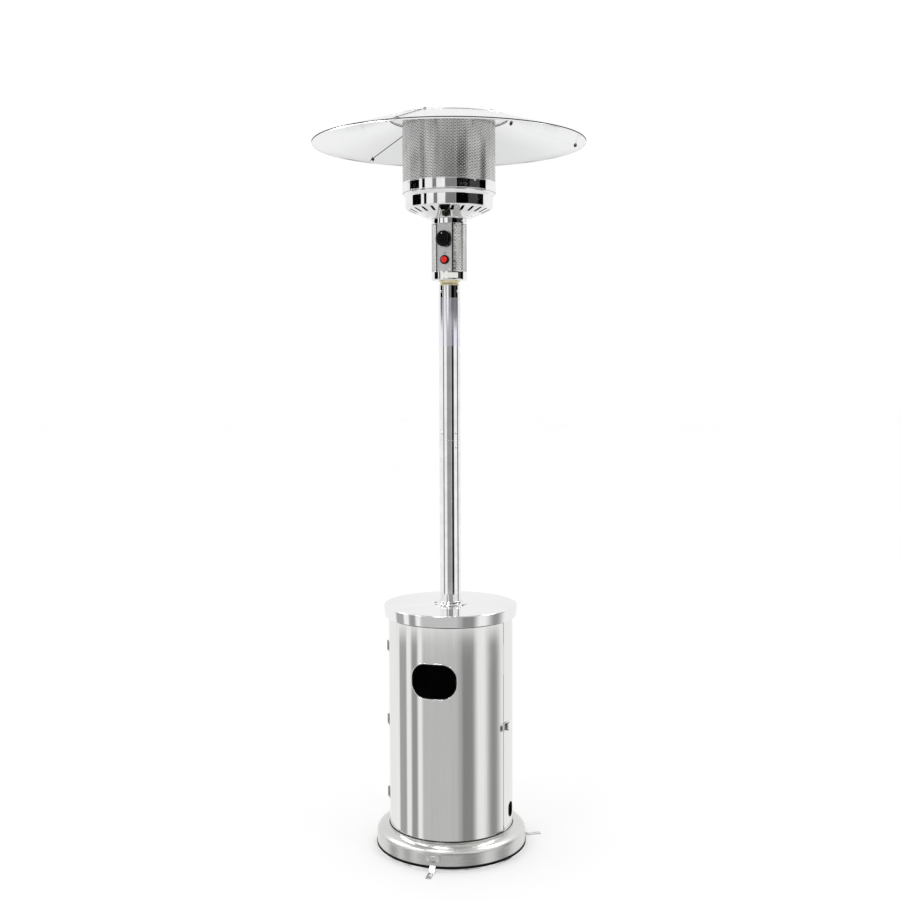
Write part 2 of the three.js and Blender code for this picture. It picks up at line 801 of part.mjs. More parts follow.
function postCoupling() {
  const outer = POST_R - POST_WALL - GAP;
  const middle = upperPostZ - GAP / 2;
  return ring(
    outer - POST_WALL,
    outer,
    middle - COUPLING_L / 2,
    middle + COUPLING_L / 2,
    SMALL_ROUND,
  );
}

add("post_flange", postFlange(), STEEL);
add("post_lower", postTube(lowerPostZ, LOWER_POST_L), STEEL);
add("post_upper", postTube(upperPostZ, UPPER_POST_L), STEEL);
add("post_coupling", postCoupling(), STEEL);

// ---- Neck adapter: a tube in the post, a cone, and a flange inside the control housing --------

function neckAdapter() {
  const low = postTopZ - NECK_TUBE_L;
  const coneLow = postTopZ - GAP;
  const coneHigh = postTopZ + NECK_CONE_H;
  const outline = [
    [neckTubeR - POST_WALL, low],
    [neckTubeR, low],
    [neckTubeR, coneLow],
    [neckTopR, coneHigh],
    [neckFlangeR, coneHigh],
    [neckFlangeR, coneHigh + POST_WALL],
    [neckTopR - 1, coneHigh + POST_WALL],
    [neckTubeR - POST_WALL, coneLow + POST_WALL],
  ];
  return turned(outline, SMALL_ROUND);
}

add("neck_adapter", neckAdapter(), PLATED);

// ---- Control housing, built with its panel at the front and turned to PANEL_AZ ----------------

const panelZ = controlZ + PANEL_Z;
const knobZ = controlZ + KNOB_Z;
const igniterZ = controlZ + IGNITER_Z;
const panelBackY = -(panelDepth - SHEET);
const panelHalfW = Math.sqrt((CONTROL_R - SHEET - 2 * GAP) ** 2 - panelDepth ** 2);
const atFront = (z, fromDepth, toDepth, radius, sides = SMALL_ROUND) =>
  rod([0, -fromDepth, z], [0, -toDepth, z], radius, sides);

function controlHousing() {
  const inner = CONTROL_R - SHEET;
  const floorHole = neckTopR + GAP;
  const outline = [
    [floorHole, controlZ],
    [CONTROL_R, controlZ],
    [CONTROL_R, controlTopZ],
    [inner, controlTopZ],
    [inner, controlZ + SHEET],
    [floorHole, controlZ + SHEET],
  ];
  const half = panelHalfW + PANEL_SIDE_GAP;
  const opening = block(
    [-half, half],
    [-CONTROL_R - 1, panelBackY],
    [panelZ, panelZ + PANEL_H],
  );
  return turned(outline).subtract(opening);
}

function controlPanel() {
  const sheet = block(
    [-panelHalfW, panelHalfW],
    [-panelDepth, panelBackY],
    [panelZ - PANEL_MARGIN, panelZ + PANEL_H + PANEL_MARGIN],
  );
  return sheet
    .subtract(atFront(knobZ, 0, CONTROL_R, STEM_R + STEM_HOLE_CLEARANCE, TINY_ROUND))
    .subtract(atFront(igniterZ, 0, CONTROL_R, IGNITER_BARREL_R + GAP));
}

const knobBack = CONTROL_R + KNOB_TRAVEL + KNOB_CLEARANCE;
const knobFront = knobBack + KNOB_SKIRT_T + KNOB_CAP_T;
const valveFront = panelDepth - SHEET - VALVE_BEHIND_PANEL;
const stemBack = valveFront - STEM_IN_VALVE;
const stemFront = knobFront - KNOB_FACE_T;

function controlKnob() {
  return joined(
    atFront(knobZ, knobBack, knobBack + KNOB_SKIRT_T, KNOB_SKIRT_R),
    atFront(knobZ, knobBack + 1, knobFront, KNOB_CAP_R),
  ).subtract(atFront(knobZ, knobBack - 1, stemFront + GAP, STEM_R + 2 * GAP, TINY_ROUND));
}

// The valve block, with an arm to the axis that carries the jet above and the gas pipe below.
function gasValve() {
  const half = VALVE_W / 2;
  const back = VALVE_TO_AXIS;
  const body = block(
    [-half, half],
    [-valveFront, -back],
    [knobZ - VALVE_H / 2, knobZ + VALVE_H / 2],
  );
  const arm = block(
    [-INLET_R, INLET_R],
    [-back - VALVE_JOIN, INLET_R],
    [knobZ - VALVE_H / 4, knobZ + VALVE_H / 4],
  );
  const bore = atFront(
    knobZ,
    stemBack - KNOB_TRAVEL - 1,
    valveFront + 1,
    STEM_R + 2 * GAP,
    TINY_ROUND,
  );
  return joined(body, arm).subtract(bore);
}

function igniterBody() {
  const flangeBack = panelDepth + GAP;
  const front = flangeBack + BEZEL_T;
  const boreEnd = front + BUTTON_PROUD - BUTTON_L - BUTTON_TRAVEL - BUTTON_SPARE;
  return joined(
    atFront(igniterZ, flangeBack, front, BEZEL_R),
    atFront(igniterZ, flangeBack - IGNITER_BARREL_L, flangeBack + 1, IGNITER_BARREL_R - GAP),
  ).subtract(atFront(igniterZ, boreEnd, front + 1, BUTTON_R + GAP));
}

function igniterButton() {
  const front = panelDepth + GAP + BEZEL_T + BUTTON_PROUD;
  return atFront(igniterZ, front - BUTTON_L, front, BUTTON_R);
}

function tiltSwitch() {
  const back = CONTROL_R - SHEET - TILT_TO_WALL;
  const low = controlZ + TILT_ABOVE_FLOOR;
  return block([-TILT_W / 2, TILT_W / 2], [back - TILT_T, back], [low, low + TILT_H]);
}

add("control_housing", controlHousing(), CHROME, controls);
add("control_panel", controlPanel(), STEEL, controls);
add("control_knob", controlKnob(), BLACK, controls);
add("valve_stem", atFront(knobZ, stemBack, stemFront, STEM_R, TINY_ROUND), BRASS, controls);
add("gas_valve", gasValve(), BRASS, controls);
add("igniter_body", igniterBody(), BLACK, controls);
add("igniter_button", igniterButton(), RED, controls);
add("tilt_switch", tiltSwitch(), BLACK, controls);

// ---- Gas line -----------------------------------------------------------------------------------

const pipeTopZ = knobZ - VALVE_H / 4 - GAP;
const pipeBottomZ = lidTopZ - SHEET - GAS_PIPE_DROP;
const jetZ = knobZ + VALVE_H / 4 + GAP;

function gasInlet() {
  const high = pipeBottomZ - GAP;
  return joined(
    upright(0, 0, high - INLET_L, high, INLET_STEM_R, TINY_ROUND),
    upright(0, 0, high - INLET_L / 2, high, INLET_R, 6),
  );
}

add("gas_pipe", upright(0, 0, pipeBottomZ, pipeTopZ, GAS_PIPE_R), BRASS);
add("gas_inlet", gasInlet(), BRASS);
add("gas_jet", upright(0, 0, jetZ, jetZ + JET_H, JET_R, 6), BRASS, controls);

// ---- Burner head --------------------------------------------------------------------------------

// A bowl: a rim step, a straight band, and a shallow cone with radial air slots.
function headBowl() {
  const inner = bandR - SHEET;
  const outline = [
    [bowlHoleR, bowlZ],
    [bowlBottomR, bowlZ],
    [bandR, bandZ],
    [bandR, stepZ],
    [bowlRimR, collarZ - GAP],
    [bowlRimR - BOWL_RIM_W, collarZ - GAP],
    [inner, stepZ + SHEET / 2],
    [inner, bandZ + CONE_WALL / 2],
    [bowlBottomR, bowlZ + CONE_WALL],
    [bowlHoleR, bowlZ + CONE_WALL],
  ];
  const slots = [];
  for (let i = 0; i < SLOT_COUNT; i++) {
    const slot = block(
      [-SLOT_W / 2, SLOT_W / 2],
      [-slotToR, -(slotToR - SLOT_L)],
      [bowlZ - 1, stepZ],
    );
    slots.push(roundTo(slot, (i * 360) / SLOT_COUNT + 180 / ROUND));
  }
  return turned(outline).subtract(joined(...slots));
}

const burnerPlateZ = stepZ + SHEET;
const besideCup = (azimuth, gap) => direction(azimuth).map((v) => v * (CUP_R + gap));
const thermoAt = besideCup(THERMO_AZ, THERMO_TO_CUP);
const pilotAt = besideCup(PILOT_AZ, PILOT_TO_CUP);
const electrodeAt = besideCup(ELECTRODE_AZ, THERMO_TO_CUP);

function burnerPlate() {
  const plate = ring(MIXER_R + 1, bandR - 2 * SHEET, burnerPlateZ, burnerPlateZ + SHEET);
  return plate.subtract(upright(...thermoAt, stepZ, collarZ, PILOT_R));
}

function mixingTube() {
  const low = knobZ + VALVE_H / 2 + 2 * GAP;
  const collarLow = burnerPlateZ + SHEET + GAP;
  const collarHigh = collarLow + MIXER_COLLAR_H;
  const outline = [
    [MIXER_R - POST_WALL, low],
    [MIXER_R, low],
    [MIXER_R, collarLow],
    [MIXER_COLLAR_R, collarLow],
    [MIXER_COLLAR_R, collarHigh],
    [MIXER_R, collarHigh],
    [MIXER_R, collarHigh + MIXER_END_H],
    [MIXER_R - POST_WALL, collarHigh + MIXER_END_H],
  ];
  return turned(outline, SMALL_ROUND);
}

const cupZ = burnerPlateZ + SHEET + MIXER_COLLAR_H + 2 * GAP;

function burnerCup() {
  const high = cupZ + CUP_H;
  const outline = [
    [MIXER_R + GAP, cupZ],
    [CUP_R, cupZ],
    [CUP_R, high],
    [0, high + CUP_DOME_H],
    [0, high + CUP_DOME_H - SHEET],
    [CUP_R - SHEET, high - SHEET],
    [CUP_R - SHEET, cupZ + SHEET],
    [MIXER_R + GAP, cupZ + SHEET],
  ];
  return turned(outline, SMALL_ROUND);
}

// From the valve, up beside the mixing tube and out through the burner plate to the pilot.
function thermocouple() {
  const above = burnerPlateZ + SHEET;
  const side = VALVE_W / 2 + THERMO_R + 1;
  const middle = -(valveFront + VALVE_TO_AXIS) / 2;
  const inHole = (MIXER_R + bowlHoleR) / 2;
  const [x, y] = thermoAt;
  const bowlDepth = burnerPlateZ - bowlZ;
  const points = [
    [side, middle, knobZ],
    [side + THERMO_R, middle / 2, knobZ + VALVE_H * 0.7],
    [inHole, 0, bowlZ],
    [x * 0.5, y * 0.4, bowlZ + bowlDepth * 0.5],
    [x * 0.92, y * 0.88, bowlZ + bowlDepth * 0.75],
    [x, y, burnerPlateZ - THERMO_BELOW_PLATE],
    [x, y, above + PILOT_H / 3],
    [x, y, above + PILOT_H],
  ].map((p) => new THREE.Vector3(...p));
  const path = new THREE.CatmullRomCurve3(points);
  const section = new THREE.Shape().absarc(0, 0, THERMO_R, 0, 2 * Math.PI);
  const options = { steps: 14, extrudePath: path, curveSegments: 3 };
  return solidOf(new THREE.ExtrudeGeometry(section, options));
}

function pilotBurner() {
  const low = burnerPlateZ + SHEET + GAP;
  const [x, y] = pilotAt;
  const [halfW, halfD] = [PILOT_FOOT_W / 2, PILOT_FOOT_D / 2];
  return joined(
    block([x - halfW, x + halfW], [y - halfD, y + halfD], [low, low + PILOT_FOOT_H]),
    upright(x, y, low, low + PILOT_H, PILOT_R),
  );
}

function electrode() {
  const low = burnerPlateZ + SHEET + GAP;
  return joined(
    upright(...electrodeAt, low, low + ELECTRODE_SLEEVE_H, ELECTRODE_SLEEVE_R),
    upright(...electrodeAt, low, low + PILOT_H, ELECTRODE_R),
  );
}

const headCollar = () => {
  const inner = SCREEN_R + GAP;
  return ring(inner, inner + SHEET, collarZ, collarZ + COLLAR_H);
};

const emitterScreen = () => ring(SCREEN_R - SHEET, SCREEN_R, screenZ, screenTopZ);

// The head's top plate, with a flange inside the screen and the studs that hold the reflector.
function topPlate() {
  const outer = SCREEN_R - SHEET - GAP;
  const outline = [
    [0, screenTopZ - SHEET],
    [0, screenTopZ],
    [outer, screenTopZ],
    [outer, screenTopZ - TOP_FLANGE_H],
    [outer - SHEET, screenTopZ - TOP_FLANGE_H],
    [outer - SHEET, screenTopZ - SHEET],
  ];
  const studs = studPlaces().map(([x, y]) =>
    upright(x, y, screenTopZ - SHEET / 2, screenTopZ + STUD_L, STUD_R),
  );
  return joined(turned(outline), ...studs);
}

function studPlaces() {
  const places = [];
  for (let i = 0; i < PANEL_COUNT; i++) {
    const [x, y] = direction(STUD_AZ + (360 / PANEL_COUNT) * i);
    places.push([x * studCircleR, y * studCircleR]);
  }
  return places;
}

add("head_bowl", headBowl(), CHROME);
add("head_collar", headCollar(), CHROME);
add("burner_plate", burnerPlate(), STEEL, controls);
add("mixing_tube", mixingTube(), STEEL);
add("burner_cup", burnerCup(), STEEL);
add("thermocouple", thermocouple(), BRASS, controls);
add("pilot_burner", pilotBurner(), BRASS, controls);
add("igniter_electrode", electrode(), CERAMIC, controls);
add("emitter_screen", emitterScreen(), STEEL);
add("head_top_plate", topPlate(), STEEL);

// ---- Reflector ----------------------------------------------------------------------------------

const coneSlope = REFLECTOR_DROP / (REFLECTOR_R - crownR);
const tilt = Math.atan(coneSlope);
const sheetDrop = SHEET / Math.cos(tilt);
const gapDrop = GAP / Math.cos(tilt);
const coneZ = (r) => crownZ - (r - crownR) * coneSlope;

function reflectorCrown() {
  const brimR = crownR + CROWN_BRIM;
  const outline = [
    [0, crownZ],
    [crownR, crownZ],
    [brimR, coneZ(brimR)],
    [brimR, coneZ(brimR) - sheetDrop],
    [crownR, crownZ - sheetDrop],
    [0, crownZ - sheetDrop],
  ];
  const holes = studPlaces().map(([x, y]) =>
    upright(x, y, crownZ - 5, crownZ + 5, STUD_R + 2 * GAP),
  );
  return turned(outline, REFLECTOR_ROUND).subtract(joined(...holes));
}

function reflectorPanel(fromAz) {
  const under = (r) => coneZ(r) - sheetDrop - gapDrop;
  const innerR = crownR + GAP;
  const outline = [
    [innerR, under(innerR)],
    [REFLECTOR_R, under(REFLECTOR_R)],
    [REFLECTOR_R, under(REFLECTOR_R) - RIM_LIP_H],
    [REFLECTOR_R - SHEET, under(REFLECTOR_R) - RIM_LIP_H],
    [REFLECTOR_R - SHEET, under(REFLECTOR_R - SHEET) - sheetDrop],
    [innerR, under(innerR) - sheetDrop],
  ];
  const toAz = fromAz + 360 / PANEL_COUNT;
  return turnedBetween(outline, fromAz, toAz, GAP / 2, REFLECTOR_ROUND);
}

function wingNut() {
  const low = crownZ + GAP;
  const hub = upright(0, 0, low, low + NUT_H, NUT_R);
  const wings = block(
    [-WING_L, WING_L],
    [-WING_T / 2, WING_T / 2],
    [low + NUT_H / 3, low + NUT_H / 3 + WING_H],
  );
  return joined(hub, wings).subtract(
    upright(0, 0, low - 1, low + NUT_H + WING_H, STUD_R + 2 * GAP),
  );
}

add("reflector_crown", reflectorCrown(), ALUMINIUM);
for (let i = 0; i < PANEL_COUNT; i++) {
  const fromAz = FIRST_SEAM_AZ + (360 / PANEL_COUNT) * i;
  add(`reflector_panel_${i + 1}`, reflectorPanel(fromAz), ALUMINIUM);
}
studPlaces().forEach(([x, y], i) => {
  add(`wing_nut_${i + 1}`, wingNut(), STEEL).position.set(x, y, 0);
});

export default heater;
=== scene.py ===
import json
import math

import bmesh
import bpy
from mathutils import Matrix, Vector


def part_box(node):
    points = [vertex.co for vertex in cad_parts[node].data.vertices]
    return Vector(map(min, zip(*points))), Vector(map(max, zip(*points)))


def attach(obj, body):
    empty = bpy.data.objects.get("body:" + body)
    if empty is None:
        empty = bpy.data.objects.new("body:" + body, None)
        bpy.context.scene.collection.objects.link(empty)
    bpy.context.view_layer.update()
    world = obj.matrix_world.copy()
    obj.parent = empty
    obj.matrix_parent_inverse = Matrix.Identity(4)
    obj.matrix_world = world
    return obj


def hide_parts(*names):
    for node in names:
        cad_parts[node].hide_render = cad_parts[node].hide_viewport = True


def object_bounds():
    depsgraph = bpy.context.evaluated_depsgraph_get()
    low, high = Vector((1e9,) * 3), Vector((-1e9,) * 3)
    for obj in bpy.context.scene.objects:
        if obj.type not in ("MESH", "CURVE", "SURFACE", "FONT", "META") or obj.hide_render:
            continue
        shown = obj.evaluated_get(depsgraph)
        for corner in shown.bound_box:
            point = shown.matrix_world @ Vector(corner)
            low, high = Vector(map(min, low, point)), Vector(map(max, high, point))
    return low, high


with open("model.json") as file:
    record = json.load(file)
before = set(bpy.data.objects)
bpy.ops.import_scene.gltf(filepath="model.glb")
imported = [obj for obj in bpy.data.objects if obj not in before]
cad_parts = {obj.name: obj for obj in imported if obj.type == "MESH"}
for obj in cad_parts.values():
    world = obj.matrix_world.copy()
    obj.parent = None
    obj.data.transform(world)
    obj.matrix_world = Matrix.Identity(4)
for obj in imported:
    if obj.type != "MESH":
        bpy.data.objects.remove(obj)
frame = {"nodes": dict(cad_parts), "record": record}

CAD_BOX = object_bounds()
MM = 0.001  # metres
GAP = 0.3  # between CAD pieces that touch
SHEET = 1.2
ROUND = 240  # sides of a large turned piece
SMALL = 96  # sides of a middle-sized turned piece
TINY = 32  # sides of a pin or a screw
QUARTER = Matrix.Rotation(math.pi / 2, 4, "X")  # turns a flat piece upright


# ---- Places taken from the frame -----------------------------------------------------------

def corners_of(node):
    """A CAD node's lowest and highest corners at rest, in millimetres."""
    return [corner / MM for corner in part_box(node)]


def low(node):
    return corners_of(node)[0].z


def top(node):
    return corners_of(node)[1].z


def outer(node):
    """Radius of a piece that is turned about the post's axis."""
    return corners_of(node)[1].x


def middle(node):
    lo, hi = corners_of(node)
    return (lo + hi) / 2


def azimuth_of(node):
    centre = middle(node)
    return math.degrees(math.atan2(centre.x, -centre.y))


def at_azimuth(azimuth, z=0.0):
    """Moves a piece built at the front round to an azimuth."""
    return Matrix.Translation((0, 0, z)) @ Matrix.Rotation(math.radians(azimuth), 4, "Z")


def direction(azimuth):
    a = math.radians(azimuth)
    return Vector((math.sin(a), -math.cos(a), 0))


def facing(azimuth, radius, z, tilt=0.0):
    """A frame on an upright round wall whose own Z points outwards; tilt turns it downwards."""
    turn = Matrix.Rotation(math.radians(azimuth), 4, "Z")
    lean = Matrix.Rotation(math.radians(90 + tilt), 4, "X")
    return Matrix.Translation(direction(azimuth) * radius + Vector((0, 0, z))) @ turn @ lean


JOINTS = {j["name"]: j for j in frame["record"]["behaviour"]["joints"]}
SHELL_R = outer("housing_shell")
POST_R = outer("post_lower")
CONTROL_R = 53
SCREEN_R = outer("emitter_screen")
REFLECTOR_R = CAD_BOX[1].x / MM


# ---- Outlines --------------------------------------------------------------------------------

HOLD = 1.3  # where the point sits that keeps a rounded edge from shading the flat beside it


def rounded(points, steps=6):
    """An outline whose (x, y, radius) corners are rounded; (x, y) corners stay sharp."""
    out = []
    count = len(points)
    for i, (x, y, *radius) in enumerate(points):
        corner = Vector((x, y))
        if not radius:
            out.append((x, y))
            continue
        back = Vector(points[i - 1][:2]) - corner
        ahead = Vector(points[(i + 1) % count][:2]) - corner
        half = back.angle(ahead) / 2
        room = back.length * 0.49, ahead.length * 0.49
        reach = min(radius[0] / math.tan(half), *room)
        back.normalize()
        ahead.normalize()
        centre = corner + (back + ahead).normalized() * (reach / math.cos(half))
        first = corner + back * reach - centre
        last = corner + ahead * reach - centre
        sweep = first.angle(last)
        if reach * HOLD < room[0]:
            out.append(tuple(corner + back * reach * HOLD))
        for k in range(steps + 1):
            t = k / steps
            v = first * math.sin((1 - t) * sweep) + last * math.sin(t * sweep)
            out.append(tuple(centre + v / math.sin(sweep)))
        if reach * HOLD < room[1]:
            out.append(tuple(corner + ahead * reach * HOLD))
    return out


def wall_outline(inner, outside, z0, z1, inner_edge=0, outer_edge=0, steps=3):
    """A plain upright wall in section, its two inner and two outer corners rounded."""
    corners = ((inner, z0, inner_edge), (outside, z0, outer_edge),
               (outside, z1, outer_edge), (inner, z1, inner_edge))
    return rounded([corner if corner[2] else corner[:2] for corner in corners], steps)


def round_rect(width, height, radius, steps=10):
    w, h = width / 2, height / 2
    corners = [(-w, -h), (w, -h), (w, h), (-w, h)]
    return rounded([(x, y, radius) for x, y in corners], steps)


def circle(radius, sides):
    angles = [2 * math.pi * i / sides for i in range(sides)]
    return [(radius * math.cos(a), radius * math.sin(a)) for a in angles]


def inset(outline, amount):
    """An outline inside the given one, running the same way round, each corner moved in by amount."""
    area = sum(a[0] * b[1] - b[0] * a[1] for a, b in zip(outline, outline[1:] + outline[:1]))
    sign = 1 if area > 0 else -1
    out = []
    for i, point in enumerate(outline):
        here = Vector(point)
        back = (here - Vector(outline[i - 1])).normalized()
        ahead = (Vector(outline[(i + 1) % len(outline)]) - here).normalized()
        normal = Vector((-(back.y + ahead.y), back.x + ahead.x)) * sign
        if normal.length < 1e-9:
            out.append(tuple(here))
            continue
        normal.normalize()
        lean = max(0.4, normal.dot(Vector((-back.y, back.x)) * sign))
        out.append(tuple(here + normal * amount / lean))
    return out


# ---- Meshes ------------------------------------------------------------------------------------

def moved(bm, verts, place):
    if place is not None:
        bmesh.ops.transform(bm, matrix=place, verts=verts)


def turned(bm, outline, sides=ROUND, start=0.0, end=360.0, place=None):
    """Turns a closed outline of (radius, height) about Z, with end caps short of a full turn."""
    full = end - start >= 360
    steps = max(2, round(sides * (end - start) / 360))
    on_axis = {}
    rings = []
    for i in range(steps if full else steps + 1):
        way = direction(start + (end - start) * i / steps)
        ring = []
        for k, (r, z) in enumerate(outline):
            if r > 1e-7:
                ring.append(bm.verts.new(way * r + Vector((0, 0, z))))
                continue
            if k not in on_axis:
                on_axis[k] = bm.verts.new((0, 0, z))
            ring.append(on_axis[k])
        rings.append(ring)
    following = rings[1:] + rings[:1] if full else rings[1:]
    for one, two in zip(rings, following):
        for k in range(len(outline)):
            n = (k + 1) % len(outline)
            corners = list(dict.fromkeys([one[k], one[n], two[n], two[k]]))
            if len(corners) > 2:
                bm.faces.new(corners)
    if not full:
        bm.faces.new(rings[0])
        bm.faces.new(rings[-1][::-1])
    moved(bm, list({v for ring in rings for v in ring}), place)


def slab(bm, outline, near, far, edge=0.0, place=None, steps=3):
    """A flat outline raised from one height to another, its long edges rounded by edge."""
    layers = []
    if edge:
        layers.append((inset(outline, edge * HOLD), 0.0))
        for k in range(steps + 1):
            t = math.pi / 2 * k / steps
            layers.append((inset(outline, edge * (1 - math.sin(t))), edge * (1 - math.cos(t))))
        if far - near > 2 * edge * HOLD:
            layers.append((outline, edge * HOLD))
    else:
        layers.append((outline, 0.0))
    heights = [(shape, near + up) for shape, up in layers]
    heights += [(shape, far - up) for shape, up in reversed(layers)]
    rings = [[bm.verts.new((x, y, z)) for x, y in shape] for shape, z in heights]
    for one, two in zip(rings, rings[1:]):
        for k in range(len(outline)):
            n = (k + 1) % len(outline)
            bm.faces.new((one[k], one[n], two[n], two[k]))
    bm.faces.new(rings[0][::-1])
    bm.faces.new(rings[-1])
    moved(bm, [v for ring in rings for v in ring], place)


def swept(bm, path, section, closed=False):
    """Carries a closed section of (a, b) along a path of (point, direction of a, direction of b)."""
    rings = [[bm.verts.new(p + u * a + v * b) for a, b in section] for p, u, v in path]
    following = rings[1:] + rings[:1] if closed else rings[1:]
    for one, two in zip(rings, following):
        for k in range(len(section)):
            n = (k + 1) % len(section)
            bm.faces.new((one[k], one[n], two[n], two[k]))
    if not closed:
        bm.faces.new(rings[0][::-1])
        bm.faces.new(rings[-1])


def wire(bm, points, radius, sides=12, closed=False):
    """A round wire through points."""
    path = []
    side = None
    count = len(points)
    for i, point in enumerate(points):
        back = points[i - 1] if closed or i else point
        ahead = points[(i + 1) % count] if closed or i < count - 1 else point
        along = (ahead - back).normalized()
        if side is None:
            side = along.orthogonal().normalized()
        side = (side - along * side.dot(along)).normalized()
        path.append((point, side, along.cross(side)))
    swept(bm, path, circle(radius, sides), closed)


def screw(bm, place, radius, height):
    """A pan-head screw with a cross recess, its underside at the place's own z = 0."""
    rings = []
    for share in (0.12, 0.24, 0.36, 0.48, 0.58, 0.68, 0.82, 0.93, 1.0):
        ring = []
        for i in range(TINY):
            a = 2 * math.pi * i / TINY
            x, y = radius * share * math.cos(a), radius * share * math.sin(a)
            z = height * (1 - 0.45 * share**3)
            if share < 0.62 and min(abs(x), abs(y)) < 0.14 * radius:
                z -= 0.42 * height
            ring.append(bm.verts.new((x, y, z)))
        rings.append(ring)
    rings.append([bm.verts.new((v.co.x, v.co.y, -height / 3)) for v in rings[-1]])
    for one, two in zip(rings, rings[1:]):
        for k in range(TINY):
            bm.faces.new((one[k], two[k], two[(k + 1) % TINY], one[(k + 1) % TINY]))
    bm.faces.new(rings[0])
    bm.faces.new(rings[-1][::-1])
    moved(bm, [v for ring in rings for v in ring], place)


def hex_nut(bm, place, radius, height, bore=0.0):
    """A chamfered hexagon, its underside at the place's own z = 0."""
    edge = 0.14 * radius
    shape = [(radius - edge, 0), (radius, edge), (radius, height - edge), (radius - edge, height)]
    shape += [(bore, height), (bore, 0)]
    turned(bm, shape, 6, place=place)


def perforated(bm, radius, thickness, levels, solid, columns, slot, start=0.0, end=360.0):
    """A curved sheet in rows between levels: a row is solid or holds slots, set off row by row."""
    full = end - start >= 360
    halves = 2 * columns
    step = math.radians(end - start) / halves
    slot_w, slot_h = slot
    straight = (slot_w - slot_h) / 2 / (radius * step)
    bend = slot_h / 2 / (radius * step)
    grid = {}

    def point(side, half, z):
        a = math.degrees(step * half) + start
        return bm.verts.new(direction(a) * (radius - thickness * side) + Vector((0, 0, z)))

    def corner(side, half, level):
        key = (side, half % halves if full else half, level)
        if key not in grid:
            grid[key] = point(side, half, levels[level])
        return grid[key]

    def plain(half, row):
        for side in (0, 1):
            marks = [(half, row), (half + 1, row), (half + 1, row + 1), (half, row + 1)]
            bm.faces.new([corner(side, *m) for m in marks])

    def holed(centre, row):
        z = (levels[row] + levels[row + 1]) / 2
        rim = [(0.0, slot_h / 2)]
        for k in range(5):
            t = math.pi * k / 4
            rim.append((-straight - bend * math.sin(t), slot_h / 2 * math.cos(t)))
        rim.append((0.0, -slot_h / 2))
        rim += [(-h, v) for h, v in reversed(rim[1:-1])]
        holes = [[point(side, centre + h, z + v) for h, v in rim] for side in (0, 1)]
        for side, hole in enumerate(holes):
            for way, ring in ((-1, hole[:7]), (1, [hole[0], *hole[:5:-1]])):
                marks = [(centre, row), (centre + way, row)]
                marks += [(centre + way, row + 1), (centre, row + 1)]
                bm.faces.new([corner(side, *m) for m in marks] + ring)
        for k in range(len(rim)):
            n = (k + 1) % len(rim)
            bm.faces.new((holes[0][k], holes[0][n], holes[1][n], holes[1][k]))

    for row, whole in enumerate(solid):
        if whole:
            for half in range(halves):
                plain(half, row)
            continue
        odd = row % 2
        for i in range(columns if full or not odd else columns - 1):
            holed(1 + 2 * i + odd, row)
        if odd and not full:
            plain(0, row)
            plain(halves - 1, row)
    for level in (0, len(levels) - 1):
        for half in range(halves):
            a, b = (half, level), (half + 1, level)
            bm.faces.new((corner(0, *a), corner(0, *b), corner(1, *b), corner(1, *a)))
    if not full:
        for half in (0, halves):
            for row in range(len(solid)):
                a, b = (half, row), (half, row + 1)
                bm.faces.new((corner(0, *a), corner(0, *b), corner(1, *b), corner(1, *a)))


def bare(name, bm):
    """A mesh object in metres from a bmesh in millimetres, its faces turned outwards."""
    bmesh.ops.scale(bm, vec=(MM, MM, MM), verts=bm.verts)
    bmesh.ops.recalc_face_normals(bm, faces=bm.faces)
    mesh = bpy.data.meshes.new(name)
    bm.to_mesh(mesh)
    bm.free()
    obj = bpy.data.objects.new(name, mesh)
    bpy.context.scene.collection.objects.link(obj)
    return obj


def cut(obj, tool_bm):
    """Cuts the tool's solids out of obj."""
    tool = bare("cutting_tool", tool_bm)
    modifier = obj.modifiers.new("cut", "BOOLEAN")
    modifier.operation = "DIFFERENCE"
    modifier.solver = "EXACT"
    modifier.object = tool
    bpy.context.view_layer.update()
    graph = bpy.context.evaluated_depsgraph_get()
    mesh = bpy.data.meshes.new_from_object(obj.evaluated_get(graph))
    obj.modifiers.clear()
    obj.data = mesh
    bpy.data.objects.remove(tool)


def piece(name, made, look, body="heater", replaces=(), tools=(), inside=None):
    """A finished piece from a bmesh: named, given its material, and riding its body.

    With inside, the faces that look at the post's axis get that second material."""
    obj = bare(name, made)
    for tool in tools:
        cut(obj, tool)
    material, slot = look
    obj.data.materials.clear()
    obj.data.materials.append(material)
    obj.data.set_sharp_from_angle(angle=math.radians(32))
    # painted shade: the faces on a wall's inner side get the darker second material in place of the
    # shade there
    if inside:
        obj.data.materials.append(inside[0])
        for face in obj.data.polygons:
            out = face.center.xy.normalized()
            face.material_index = int(face.normal.xy.dot(out) < -0.3)
    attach(obj, body)
    if replaces:
        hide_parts(*replaces)
    return obj


def turned_piece(name, outline, look, body="heater", replaces=(), sides=ROUND, place=None):
    bm = bmesh.new()
    turned(bm, outline, sides, place=place)
    piece(name, bm, look, body, replaces)


def screws(name, places, radius, height, look):
    bm = bmesh.new()
    for place in places:
        screw(bm, place, radius, height)
    piece(name, bm, look)


def kept(node, look, edge=0.4):
    """A CAD node that stays as it is, with a finish and rounded edges."""
    obj = frame["nodes"][node]
    obj.data.materials.clear()
    obj.data.materials.append(look[0])
    if edge:
        bevel = obj.modifiers.new("edge", "BEVEL")
        bevel.width = edge * MM
        bevel.segments = 3
        bevel.limit_method = "ANGLE"
        bevel.angle_limit = math.radians(40)
    return obj


# ---- Materials --------------------------------------------------------------------------------

def linear(*display):
    """Display values from 0 to 1 as the linear colour that a shader takes."""
    values = display if len(display) == 3 else display * 3
    return (*(v**2.2 for v in values), 1.0)


